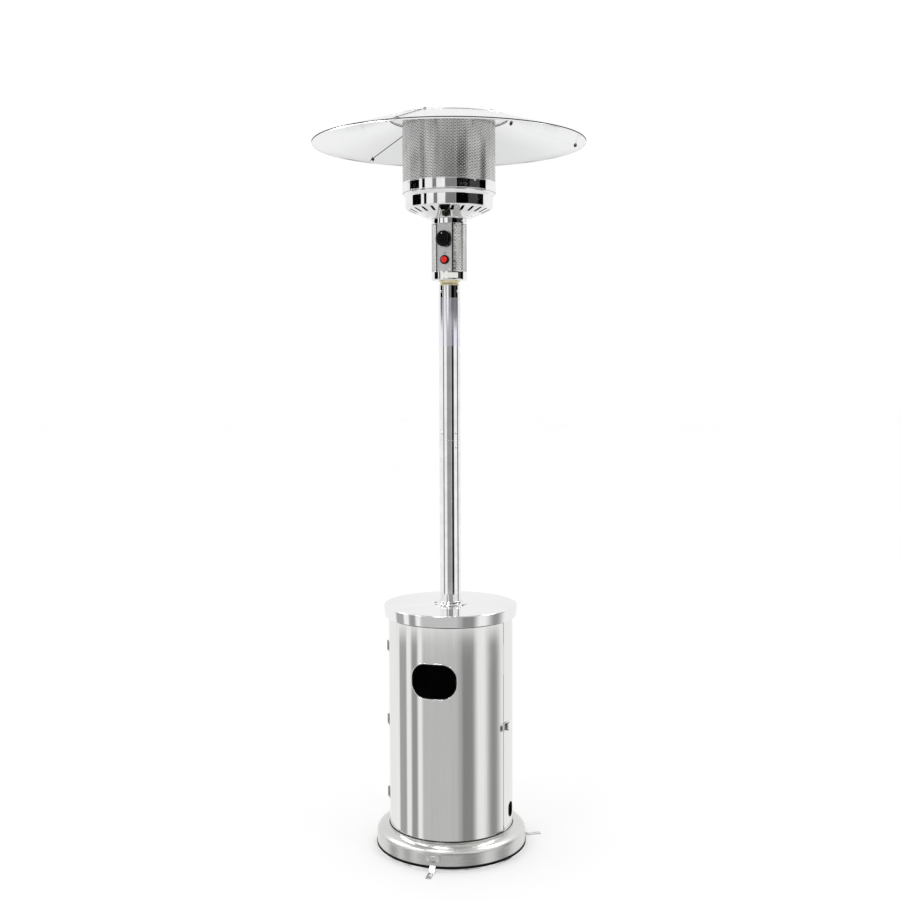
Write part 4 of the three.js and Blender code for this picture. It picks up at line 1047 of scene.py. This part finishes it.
def control_housing():
    node = "control_housing"
    z0, z1 = low(node), top(node)
    panel_z0, panel_z1 = z0 + 25, z0 + 166
    radius = CONTROL_R
    inner = radius - SHEET
    floor_hole = 33.3
    bm = bmesh.new()
    turned(bm, rounded([
        (floor_hole, z0), (radius, z0, 2.4), (radius, panel_z0, 0.7), (inner - 1, panel_z0, 0.5),
        (inner - 1, z0 + SHEET, 1), (floor_hole, z0 + SHEET),
    ], 6), 192)
    turned(bm, rounded([
        (inner - 1, panel_z1, 0.5), (radius, panel_z1, 0.7), (radius, z1, 1.8),
        (inner - 1, z1, 0.5),
    ], 6), 192)
    piece("control_housing_bands", bm, CHROME, replaces=[node])

    sleeve = radius - 0.5
    start = PANEL_AZ + OPENING_HALF_DEG
    end = PANEL_AZ + 360 - OPENING_HALF_DEG
    span = (panel_z1 - panel_z0) / SLEEVE_ROWS
    levels = [panel_z0 - 3]
    levels += [panel_z0 + span * i for i in range(SLEEVE_ROWS + 1)]
    levels.append(panel_z1 + 3)
    solid = [True, *[False] * SLEEVE_ROWS, True]
    bm = bmesh.new()
    perforated(bm, sleeve, 1, levels, solid, SLEEVE_COLUMNS, SLEEVE_SLOT,
               start + SLEEVE_MARGIN_DEG, end - SLEEVE_MARGIN_DEG)
    piece("control_sleeve_perforated", bm, SCREEN)
    bm = bmesh.new()
    for sign in (-1, 1):
        edge = PANEL_AZ + sign * OPENING_HALF_DEG
        bend = direction(edge) * (sleeve + 0.3)
        back = direction(PANEL_AZ) * (PANEL_FACE - 0.2)
        across = Vector((math.cos(math.radians(PANEL_AZ)), math.sin(math.radians(PANEL_AZ)), 0))
        tuck = back + across * sign * 21.2
        wing = [direction(edge + sign * (SLEEVE_MARGIN_DEG + 1) * k / 6) * (sleeve + 0.3)
                for k in range(6, 0, -1)]
        line = [(p.x, p.y) for p in (*wing, bend, tuck)]
        path = [Vector((*p, 0)) for p in line]
        sides = []
        for i, p in enumerate(path):
            along = (path[min(i + 1, len(path) - 1)] - path[max(i - 1, 0)]).normalized()
            sides.append(Vector((-along.y, along.x, 0)) * 0.5)
        outline = [tuple((p + s).xy) for p, s in zip(path, sides)]
        outline += [tuple((p - s).xy) for p, s in reversed(list(zip(path, sides)))]
        slab(bm, outline, panel_z0 - 2, panel_z1 + 2, 0.2)
    piece("control_opening_flanges", bm, CHROME)
    spots = [facing(azimuth, radius - 0.2, z1 - 8) for azimuth in (-62, 47, 64, 180)]
    screws("control_housing_screws", spots, 2.8, 1.6, CHROME)
    bm = bmesh.new()
    turned(bm, wall_outline(radius + 0.02, radius + 0.2, z0 + 5, z0 + 21, 0, 0.08, 2),
           240, PANEL_AZ - 12, PANEL_AZ + 46)
    piece("control_plate_blank", bm, STICKER)


def control_panel():
    node = "control_panel"
    z0, z1 = low(node), top(node)
    z = (z0 + z1) / 2
    width = 41.4
    bm = bmesh.new()
    slab(bm, round_rect(width, z1 - z0, 1.5, 4), -SHEET, 0, 0.35, on_panel(z))
    knob_z, igniter_z = middle("control_knob").z, middle("igniter_button").z
    hole = bmesh.new()
    for spot_z, r in ((knob_z, 5), (igniter_z, 12.2)):
        turned(hole, [(0, -5), (r, -5), (r, 5), (0, 5)], 64,
               place=on_panel(spot_z))
    piece("control_panel_plate", bm, PANEL, replaces=[node], tools=[hole])
    bm = bmesh.new()
    for i in range(9):
        a = math.radians(200 - 27.5 * i)
        long = 3.2 if i % 2 == 0 else 1.8
        spot = on_panel(knob_z) @ Matrix.Rotation(a, 4, "Z") @ Matrix.Translation((26.2, 0, 0))
        if abs(26.2 * math.cos(a)) < 19:
            slab(bm, round_rect(long, 0.9, 0.4, 3), 0, 0.25, 0.08, spot)
    for i in range(3):
        spot = on_panel(igniter_z + 19) @ Matrix.Translation(((i - 1) * 3.4, 0, 0))
        lean = Matrix.Rotation(math.radians(18 * (1 - i)), 4, "Z")
        slab(bm, round_rect(0.9, 5, 0.4, 3), 0, 0.25, 0.08, spot @ lean)
    piece("control_panel_marks", bm, PLASTIC)
    spots = [on_panel(spot_z) @ Matrix.Translation((x, 0, 0))
             for spot_z in (z0 + 8, z1 - 8) for x in (-15, 15)]
    screws("control_panel_screws", spots, 2, 1, CHROME)


def control_knob():
    node = "control_knob"
    z = middle(node).z
    back = CONTROL_R + 4.5
    skirt_r, cap_r, skirt_t, depth = 23.5, 19.5, 5, 21
    bore = 4.6
    place = on_panel(z, back)
    bm = bmesh.new()
    turned(bm, rounded([
        (bore, 0), (skirt_r, 0, 1), (skirt_r, skirt_t - 1, 1.4), (cap_r - 0.6, skirt_t + 1, 1.5),
        (cap_r - 1.8, depth - 1.5, 3), (10, depth, 6), (0, depth - 1.2), (0, depth - 7),
        (bore, depth - 7),
    ], 6), 96, place=place)
    for i in range(18):
        a = 2 * math.pi * (i + 0.5) / 18
        rib = place @ Matrix.Rotation(a, 4, "Z")
        rib = rib @ Matrix.Translation((cap_r - 1.9, 0, skirt_t + 0.2))
        slab(bm, round_rect(3.2, 2.4, 1.1, 4), 0, depth - 9, 0.8, rib)
    piece("control_knob_cap", bm, PLASTIC, "control_knob", [node])
    bm = bmesh.new()
    spot = place @ Matrix.Translation((0, 11, depth - 1.3))
    slab(bm, round_rect(1.8, 9, 0.8, 4), -1.5, 0.8, 0.2, spot)
    piece("control_knob_pointer", bm, CERAMIC, "control_knob")


def igniter():
    z = middle("igniter_button").z
    place = on_panel(z)
    button_r, bezel_r, bezel_t = 9.4, 13.5, 6
    bm = bmesh.new()
    turned(bm, rounded([
        (button_r + GAP, -8), (11.7, -8), (11.7, GAP), (bezel_r, GAP, 0.5),
        (bezel_r, GAP + bezel_t - 1, 1.5), (bezel_r - 2, GAP + bezel_t, 1),
        (button_r + GAP, GAP + bezel_t, 0.6),
    ], 5), SMALL, place=place)
    turned(bm, rounded([
        (0, -24), (11.7, -24, 1.5), (11.7, -8), (0, -8),
    ], 4), SMALL, place=place)
    piece("igniter_bezel", bm, PLASTIC, replaces=["igniter_body"])
    front = GAP + bezel_t + 5
    turned_piece("igniter_push_button", rounded([
        (0, front - 11), (button_r, front - 11, 0.5), (button_r, front - 0.6, 1.8), (7, front, 2),
        (0, front - 0.6),
    ], 6), RED, "igniter_button", ["igniter_button"], sides=SMALL, place=place)


def control_insides():
    stem = middle("valve_stem")
    lo, hi = corners_of("valve_stem")
    turn = math.radians(abs(PANEL_AZ))
    length = (hi.y - lo.y - 8 * math.sin(turn)) / math.cos(turn)  # the stem is 8 mm thick
    depth = stem.xy.length
    turned_piece("valve_stem_shaft", wall_outline(0, 3.9, -length / 2, length / 2, 0, 0.5), BRASS,
                 "valve_stem", ["valve_stem"], TINY, facing(PANEL_AZ, depth, stem.z))
    kept("gas_valve", BRASS)
    kept("tilt_switch", PLASTIC, 1)


# ---- Gas line ---------------------------------------------------------------------------------

def gas_line():
    node = "gas_pipe"
    turned_piece("gas_pipe_tube", wall_outline(0, 5, low(node), top(node), 0, 0.8), BRASS,
                 replaces=[node], sides=48)
    node = "gas_inlet"
    z0, z1 = low(node), top(node)
    thread = [(0, z0)]
    turns = 7
    pitch = (z1 - z0) / 2 / turns
    for i in range(turns):
        base_z = z0 + pitch * i
        thread += [(5.4, base_z), (6.3, base_z + pitch * 0.35),
                   (6.3, base_z + pitch * 0.6), (5.4, base_z + pitch * 0.95)]
    thread += [(5.4, (z0 + z1) / 2), (0, (z0 + z1) / 2)]
    bm = bmesh.new()
    turned(bm, thread, 48)
    hex_nut(bm, Matrix.Translation((0, 0, (z0 + z1) / 2)), 9, (z1 - z0) / 2)
    piece("gas_inlet_union", bm, BRASS, replaces=[node])
    bm = bmesh.new()
    jet = low("gas_jet")
    hex_nut(bm, Matrix.Translation((0, 0, jet)), 5, 7)
    turned(bm, rounded([
        (0, jet + 7), (3.4, jet + 7), (3.4, top("gas_jet") - 2, 1), (1.2, top("gas_jet"), 0.4),
        (0, top("gas_jet")),
    ], 3), TINY)
    piece("gas_jet_nozzle", bm, BRASS, replaces=["gas_jet"])


# ---- Burner head ------------------------------------------------------------------------------

SLOT_COUNT = 24
SCREEN_ROWS, SCREEN_COLUMNS, SCREEN_SLOT = 41, 76, (8.2, 1.6)
CUP_ROWS, CUP_COLUMNS, CUP_SLOT = 6, 36, (6, 2.4)
BAND_R = 130
BOWL_CONE_H = 29.7


def head_bowl():
    node = "head_bowl"
    z0, z1 = low(node), top(node)
    rim = outer(node)
    band_z = z0 + BOWL_CONE_H
    step_z = band_z + 33
    bottom = 62
    wall = SHEET
    inner = BAND_R - wall
    outline = rounded([
        (24, z0, 0.4), (bottom, z0, 6), (BAND_R - 2, band_z - 1, 4), (BAND_R, band_z + 1.2, 2),
        (BAND_R, step_z, 3), (rim - 1.2, z1 - 3.2, 3), (rim, z1, 0.4), (rim - 1.2, z1, 0.4),
        (rim - 2.8, z1 - 3, 3), (inner, step_z + 0.6, 3), (inner, band_z + 1.6, 3),
        (bottom, z0 + 1.3, 6), (24, z0 + 1.3, 0.4),
    ], 7)
    bm = bmesh.new()
    turned(bm, outline, 288)
    tool = bmesh.new()
    for i in range(SLOT_COUNT):
        place = at_azimuth(360 / SLOT_COUNT * i + 5) @ Matrix.Translation((0, -109.5, 0))
        slab(tool, round_rect(9, 27, 4.2, 6), z0 - 1, step_z, place=place)
    piece("head_bowl_slotted", bm, CHROME, replaces=[node], tools=[tool], inside=INSIDE_SHADE)
    slope = math.degrees(math.atan2(BOWL_CONE_H, 66))
    spots = [facing(azimuth, 73, z0 + 5.2, 90 - slope) for azimuth in (-62, 47, 64, -150, 150)]
    screws("head_bowl_screws", spots, 2.6, 1.5, CHROME)


def head_collar():
    node = "head_collar"
    z0, z1, radius = low(node), top(node), outer(node)
    inner = radius - SHEET
    outline = rounded([
        (inner, z0, 0.3), (radius, z0, 0.5), (radius, z0 + 2, 1), (radius - 0.4, z0 + 3, 1),
        (radius - 0.4, z1 - 3, 1), (radius, z1 - 2, 1), (radius, z1, 0.5), (inner, z1, 0.3),
    ], 4)
    turned_piece("head_collar_band", outline, CHROME, replaces=[node], sides=288)
    spots = [facing(32.5 + 90 * i, radius - 0.5, z1 - 5.5) for i in range(4)]
    screws("head_collar_screws", spots, 3, 1.8, CHROME)


def emitter_screen():
    node = "emitter_screen"
    z0, z1 = low(node), top(node)
    margin = 9
    pitch = (z1 - z0 - 2 * margin) / SCREEN_ROWS
    levels = [z0] + [z0 + margin + pitch * i for i in range(SCREEN_ROWS + 1)] + [z1]
    solid = [True, *[False] * SCREEN_ROWS, True]
    bm = bmesh.new()
    perforated(bm, SCREEN_R, 1, levels, solid, SCREEN_COLUMNS, SCREEN_SLOT)
    piece("emitter_screen_perforated", bm, SCREEN, replaces=[node])
    back = SCREEN_R - 2.2
    outline = wall_outline(back - 0.5, back, z0 + 4, z1 - 4, 0, 0.2, 2)
    turned_piece("emitter_inner_sleeve", outline, INNER)
    spots = [facing(30 + 60 * i, SCREEN_R - 0.1, z1 - 5) for i in range(6)]
    screws("emitter_screen_screws", spots, 2.2, 1.3, CHROME)


def burner():
    node = "mixing_tube"
    z0, z1 = low(node), top(node)
    wall = 1.5
    tube = 12
    collar = top("burner_plate") + GAP
    turned_piece("mixing_tube_turned", rounded([
        (tube - wall, z0), (tube, z0, 0.5), (tube, collar), (20, collar, 0.8),
        (20, collar + 11, 1.5), (tube, collar + 11), (tube, z1, 0.5), (tube - wall, z1),
    ], 4), STEEL, replaces=[node], sides=SMALL)
    node = "burner_cup"
    z0, cup = low(node), outer(node)
    high = top(node) - 6
    levels = [z0 + 3 + 5 * i for i in range(CUP_ROWS + 1)]
    bm = bmesh.new()
    perforated(bm, cup, 1, levels, [False] * CUP_ROWS, CUP_COLUMNS, CUP_SLOT)
    turned(bm, rounded([
        (12.3, z0), (cup, z0, 1), (cup, levels[0] + 0.5), (cup - 1.4, levels[0] + 0.5),
        (cup - 1.4, z0 + SHEET, 0.5), (12.3, z0 + SHEET),
    ], 3), SMALL)
    turned(bm, rounded([
        (cup - 1.4, levels[-1] - 0.5), (cup, levels[-1] - 0.5), (cup, high, 2),
        (30, high + 4.4, 20), (0, high + 6), (0, high + 4.8), (30, high + 3.2, 20),
        (cup - 1.4, high - 1),
    ], 5), SMALL)
    piece("burner_cup_perforated", bm, INNER, replaces=[node])
    kept("burner_plate", INNER, 0.3)
    kept("thermocouple", BRASS, 0)
    kept("pilot_burner", BRASS)
    kept("igniter_electrode", CERAMIC, 0.3)
    kept("head_top_plate", INNER, 0.4)


# ---- Reflector --------------------------------------------------------------------------------

CROWN_BRIM = 28
FIRST_SEAM_AZ = -20.0
LAP = 1.6  # degrees that one panel runs over the next


def reflector():
    crown_z = top("reflector_crown")
    brim_r = outer("reflector_crown")
    flat_r = brim_r - CROWN_BRIM
    slope = (crown_z - low("reflector_crown") - SHEET) / CROWN_BRIM
    drop = SHEET * math.hypot(1, slope)
    under = crown_z - drop - GAP * math.hypot(1, slope)

    def cone(r):
        return crown_z - (r - flat_r) * slope

    turned_piece("reflector_crown_disc", rounded([
        (0, crown_z), (60, crown_z, 1), (63, crown_z - 0.8, 1), (66, crown_z, 1),
        (flat_r - 4, crown_z, 30), (brim_r - 1, cone(brim_r - 1), 0.8),
        (brim_r, cone(brim_r) - 1.2, 0.5), (brim_r - 1.5, cone(brim_r) - 1),
        (flat_r, crown_z - drop, 20), (0, crown_z - drop),
    ], 8), ALUMINIUM, replaces=["reflector_crown"], sides=288)

    def panel_z(r):
        return under - (r - flat_r) * slope

    for i in range(3):
        start = FIRST_SEAM_AZ + 120 * i
        rim = REFLECTOR_R
        edge_z = panel_z(rim)
        shape = rounded([
            (flat_r + GAP, panel_z(flat_r)), (rim - 16, panel_z(rim - 16), 12),
            (rim - 1.6, edge_z - 0.4, 1.6), (rim, edge_z - 6, 1.2), (rim - 2.2, edge_z - 6.4, 0.8),
            (rim - 2.4, edge_z - 2.4, 1), (rim - 16, panel_z(rim - 16) - drop, 12),
            (flat_r + GAP, panel_z(flat_r) - drop),
        ], 6)
        bm = bmesh.new()
        turned(bm, shape, 288, start + 0.04, start + 120 - 0.04)
        lap = [(r, z + 0.8 + 0.25) for r, z in (
            (brim_r + 2, panel_z(brim_r + 2)), (rim - 3, panel_z(rim - 3)))]
        strip = [*lap, *[(r, z - 0.9) for r, z in reversed(lap)]]
        turned(bm, strip, 1440, start - LAP, start + 0.6)
        notch = [(rim - 3, panel_z(rim) - 1), (rim, panel_z(rim) - 1.4)]
        notch += [(rim, panel_z(rim) - 6.6), (rim - 1, panel_z(rim) - 6.6)]
        turned(bm, notch, 1440, start - LAP, start + 0.2)
        piece(f"reflector_panel_{i + 1}_sheet", bm, ALUMINIUM,
              replaces=[f"reflector_panel_{i + 1}"])

    # painted shade: thin dark wires along the rim, the seams and the panels' inner edge stand in for
    # the shadow lines there
    bm = bmesh.new()
    hem = (REFLECTOR_R - 1.1, panel_z(REFLECTOR_R) - 0.8)
    turned(bm, [(hem[0] + x, hem[1] + z) for x, z in circle(1.3, 12)], 288)
    for i in range(3):
        seam = FIRST_SEAM_AZ + 120 * i
        sides = [(seam - LAP, brim_r + 2, -1.3)]
        if i != 1:  # this lap lies flush from below
            sides.append((seam - 0.3, flat_r + GAP, drop + 0.5))
        for azimuth, r0, below in sides:
            ends = [(r, panel_z(r) - below) for r in (r0, REFLECTOR_R - 4)]
            line = [direction(azimuth) * r + Vector((0, 0, z)) for r, z in ends]
            wire(bm, line, 0.8, 8)
    low_edge = (flat_r + GAP + 0.8, panel_z(flat_r) - drop - 0.4)
    turned(bm, [(low_edge[0] + x, low_edge[1] + z) for x, z in circle(1.3, 8)], 288)
    piece("reflector_seam_shade_lines", bm, SEAM_SHADE)

    lean = math.degrees(math.atan(slope))
    spots = []
    for i in range(3):
        seam = FIRST_SEAM_AZ + 120 * i - LAP / 2
        spots += [(seam, 388), (seam, 190), (seam + 60.8, 190)]
    tops, nuts = bmesh.new(), bmesh.new()
    for azimuth, r in spots:
        face = cone(r) if r < brim_r else panel_z(r) + 1
        up = facing(azimuth, r, face, lean - 90)
        screw(tops, up @ Matrix.Translation((0, 0, 0.1)), 4.6, 3)
        back = drop * 2 + 1.6 if r < brim_r else drop + 1.2
        down = up @ Matrix.Rotation(math.pi, 4, "X") @ Matrix.Translation((0, 0, back - 1))
        hex_nut(nuts, down, 4.8, 4)
        turned(nuts, rounded([
            (0, -2), (2.1, -2), (2.1, 7, 0.7), (0, 7),
        ], 3), TINY, place=down)
    piece("reflector_bolt_heads", tops, HARDWARE)
    # painted shade: the nuts beneath the reflector take the same dark grey, while the bolt heads above
    # stay light
    piece("reflector_bolt_nuts", nuts, SEAM_SHADE)


def wing_nut(index):
    node = f"wing_nut_{index}"
    centre = middle(node)
    z0, z1 = low(node), top(node)
    place = Matrix.Translation((centre.x, centre.y, z0))
    height = z1 - z0
    bore = 3.3
    bm = bmesh.new()
    turned(bm, rounded([
        (bore, 0), (7, 0, 0.6), (6, 6, 1.2), (bore, 6),
    ], 5), 48, place=place)
    for sign in (-1, 1):
        wing = rounded([
            (5 * sign, 1.6), (9 * sign, 2.2, 3), (13 * sign, height - 3, 3),
            (11.5 * sign, height, 2.4), (8 * sign, height - 2, 3), (5 * sign, 5.4),
        ], 6)
        slab(bm, wing, -1, 1, 0.5, place @ QUARTER)
    piece(f"wing_nut_{index}_cast", bm, CHROME, replaces=[node])


# ---- Light, floor and camera ------------------------------------------------------------------

# Four tiers of cards and flags round the studio, angles in degrees: a tier's lowest and highest
# edge as seen from the heater, then where each card stands, half its width, how soft its edges
# are, and its brightness. Where they stand is estimated from the bands on the photo's metal:
# a wall mirrors what stands at twice its own azimuth.
LOW_TIER, EYE_TIER, HEAD_TIER, TOP_TIER = (-35, -12.5), (-11, 2), (2, 9.5), (10, 30)
CARDS = {
    "low_left_edge": (LOW_TIER, -100, 10, 4, 0.66),
    "low_left": (LOW_TIER, -71, 7, 6, 0.6),
    "low_front": (LOW_TIER, -18, 36, 6, 0.76),
    "low_right": (LOW_TIER, 31, 15, 16, 0.55),
    "low_right_edge": (LOW_TIER, 86, 14, 24, 0.58),
    "eye_left": (EYE_TIER, -70, 7, 3, 0.5),
    "eye_front": (EYE_TIER, -8, 24, 4, 0.6),
    "eye_right": (EYE_TIER, 32, 13, 4, 0.2),
    "eye_right_edge": (EYE_TIER, 94, 8, 3, 0.35),
    "head_left_flag": (HEAD_TIER, -95, 17, 2, 0.03),
    "head_narrow_flag": (HEAD_TIER, -65, 4, 2, 0.03),
    "head_left_card": (HEAD_TIER, -36, 5, 3, 0.5),
    "head_front_card": (HEAD_TIER, 4, 14, 3, 0.5),
    "head_right_flag": (HEAD_TIER, 60, 42, 2, 0.03),
    "head_right_card": (HEAD_TIER, 66, 14, 4, 0.26),
    "top_left": (TOP_TIER, -36, 8, 8, 0.62),
    "top_front": (TOP_TIER, 4, 24, 8, 0.58),
    "top_right": (TOP_TIER, 96, 12, 8, 0.62),
}
WALL, FLOOR_SEEN, CEILING = 0.96, 0.88, 0.7


def studio_world():
    """An even white studio for the camera and for soft light; mirrors also see its cards and flags."""
    world = bpy.data.worlds.new("studio")
    bpy.context.scene.world = world
    world.use_nodes = True
    tree = world.node_tree
    tree.nodes.clear()
    nodes = Nodes(tree)
    way = nodes.add("ShaderNodeTexCoord").outputs["Generated"]
    parts = nodes.add("ShaderNodeSeparateXYZ", {0: way}).outputs
    front = nodes.math("MULTIPLY", parts[1], -1.0)
    degree = 180 / math.pi
    azimuth = nodes.math("MULTIPLY", nodes.math("ARCTAN2", parts[0], front), degree)
    elevation = nodes.math("MULTIPLY", nodes.math("ARCSINE", parts[2]), degree)

    def within(value, centre, half, soft):
        away = nodes.math("ABSOLUTE", nodes.math("SUBTRACT", value, centre))
        return nodes.spread(away, 1.0, 0.0, half - soft / 2, half + soft / 2, "SMOOTHSTEP")

    below = nodes.spread(elevation, 1.0, 0.0, -40.0, -20.0, "SMOOTHSTEP")
    above = nodes.spread(elevation, 0.0, 1.0, 45.0, 60.0, "SMOOTHSTEP")
    seen = nodes.mix(below, linear(WALL), linear(FLOOR_SEEN))
    seen = nodes.mix(above, seen, linear(CEILING))
    for (lowest, highest), centre, half, soft, tone in CARDS.values():
        across = within(azimuth, centre, half, soft)
        upright = within(elevation, (lowest + highest) / 2, (highest - lowest) / 2, 1)
        seen = nodes.mix(nodes.math("MULTIPLY", across, upright), seen, linear(tone))
    rays = nodes.add("ShaderNodeLightPath")
    colour = nodes.mix(rays.outputs["Is Glossy Ray"], (1.0, 1.0, 1.0, 1.0), seen)
    lit = nodes.add("ShaderNodeBackground", {"Color": colour, "Strength": 1.0})
    out = nodes.add("ShaderNodeOutputWorld")
    tree.links.new(lit.outputs[0], out.inputs["Surface"])
    world.cycles.sampling_method = "NONE"


def soft_box(name, azimuth, distance, z, size, power):
    light = bpy.data.lights.new(name, "AREA")
    light.shape = "RECTANGLE"
    light.size, light.size_y = size
    light.energy = power
    obj = bpy.data.objects.new(name, light)
    bpy.context.scene.collection.objects.link(obj)
    obj.location = direction(azimuth) * distance + Vector((0, 0, z))
    obj.rotation_euler = (Vector((0, 0, 0.6)) - obj.location).to_track_quat("-Z", "Y").to_euler()
    return obj


DOME_SPOT = (0.21, 0.065)  # radius and height of the spots on the base that mirror the lamps
DOME_LAMP_AWAY = 8


def lamp_for_dome(name, azimuth, tilt, size, power):
    """A lamp where the base's dome mirrors it to the camera from a spot that faces up by tilt."""
    spot = direction(azimuth) * DOME_SPOT[0] + Vector((0, 0, DOME_SPOT[1]))
    up = math.radians(tilt)
    normal = direction(azimuth) * math.cos(up) + Vector((0, 0, math.sin(up)))
    view = (bpy.context.scene.camera.location - spot).normalized()
    way = normal * 2 * normal.dot(view) - view
    obj = soft_box(name, 0, 1, 1, (size, size), power)
    obj.visible_diffuse = False
    obj.location = spot + way * DOME_LAMP_AWAY
    obj.rotation_euler = (-way).to_track_quat("-Z", "Y").to_euler()


def floor():
    bm = bmesh.new()
    half = 30 / MM  # the sheet is 60 m square
    for x, y in ((-half, -half), (half, -half), (half, half), (-half, half)):
        bm.verts.new((x, y, 0))
    bm.faces.new(bm.verts)
    obj = bare("studio_floor", bm)
    material, nodes, bsdf = shader("floor_paper", 0.0, Roughness=0.9)
    place = nodes.add("ShaderNodeTexCoord").outputs["Object"]
    tone = nodes.ramp(nodes.noise(place, 0.6), [(0.3, linear(0.955)), (0.7, linear(0.965))])
    nodes.link(tone, bsdf.inputs["Base Color"])
    bsdf.inputs["Emission Color"].default_value = (1, 1, 1, 1)
    bsdf.inputs["Emission Strength"].default_value = 0.1
    obj.data.materials.append(material)
    obj.visible_glossy = False


CAMERA_AT = (0.001, -3.699, 1.472)
CAMERA_DOWN, CAMERA_ROLL = 3.98, 0.21  # degrees


def camera():
    data = bpy.data.cameras.new("camera")
    data.sensor_width = 36
    data.lens = 49.0
    obj = bpy.data.objects.new("camera", data)
    bpy.context.scene.collection.objects.link(obj)
    obj.location = CAMERA_AT
    down, roll = math.radians(CAMERA_DOWN), math.radians(CAMERA_ROLL)
    obj.rotation_euler = (math.pi / 2 - down, roll, 0)
    bpy.context.scene.camera = obj


camera()
studio_world()
floor()
for box in (soft_box("key_left", -40, 3.4, 3.2, (1.2, 1.2), 8),
            soft_box("key_right", 50, 3.2, 3.0, (1.0, 1.0), 6)):
    box.visible_glossy = False
lamp_for_dome("dome_left", -44, 47, 1.8, 110)
lamp_for_dome("dome_left_small", -27, 42, 1.0, 35)
lamp_for_dome("dome_middle", -10, 46, 1.8, 100)
lamp_for_dome("dome_right", 33, 50, 2.0, 120)
bpy.context.scene.view_settings.view_transform = "Standard"

base_plate()
base_gasket()
base_skirt()
for number in (1, 2, 3):
    anchor_clip(number)
    kept(f"post_strap_{number}", INNER, 0.6)
housing()
door()
lid()
for number in (1, 2, 3):
    hinge(number)
latch()
post()
post_flange()
neck()
control_housing()
control_panel()
control_knob()
igniter()
control_insides()
gas_line()
head_bowl()
head_collar()
emitter_screen()
burner()
reflector()
for number in (1, 2, 3):
    wing_nut(number)
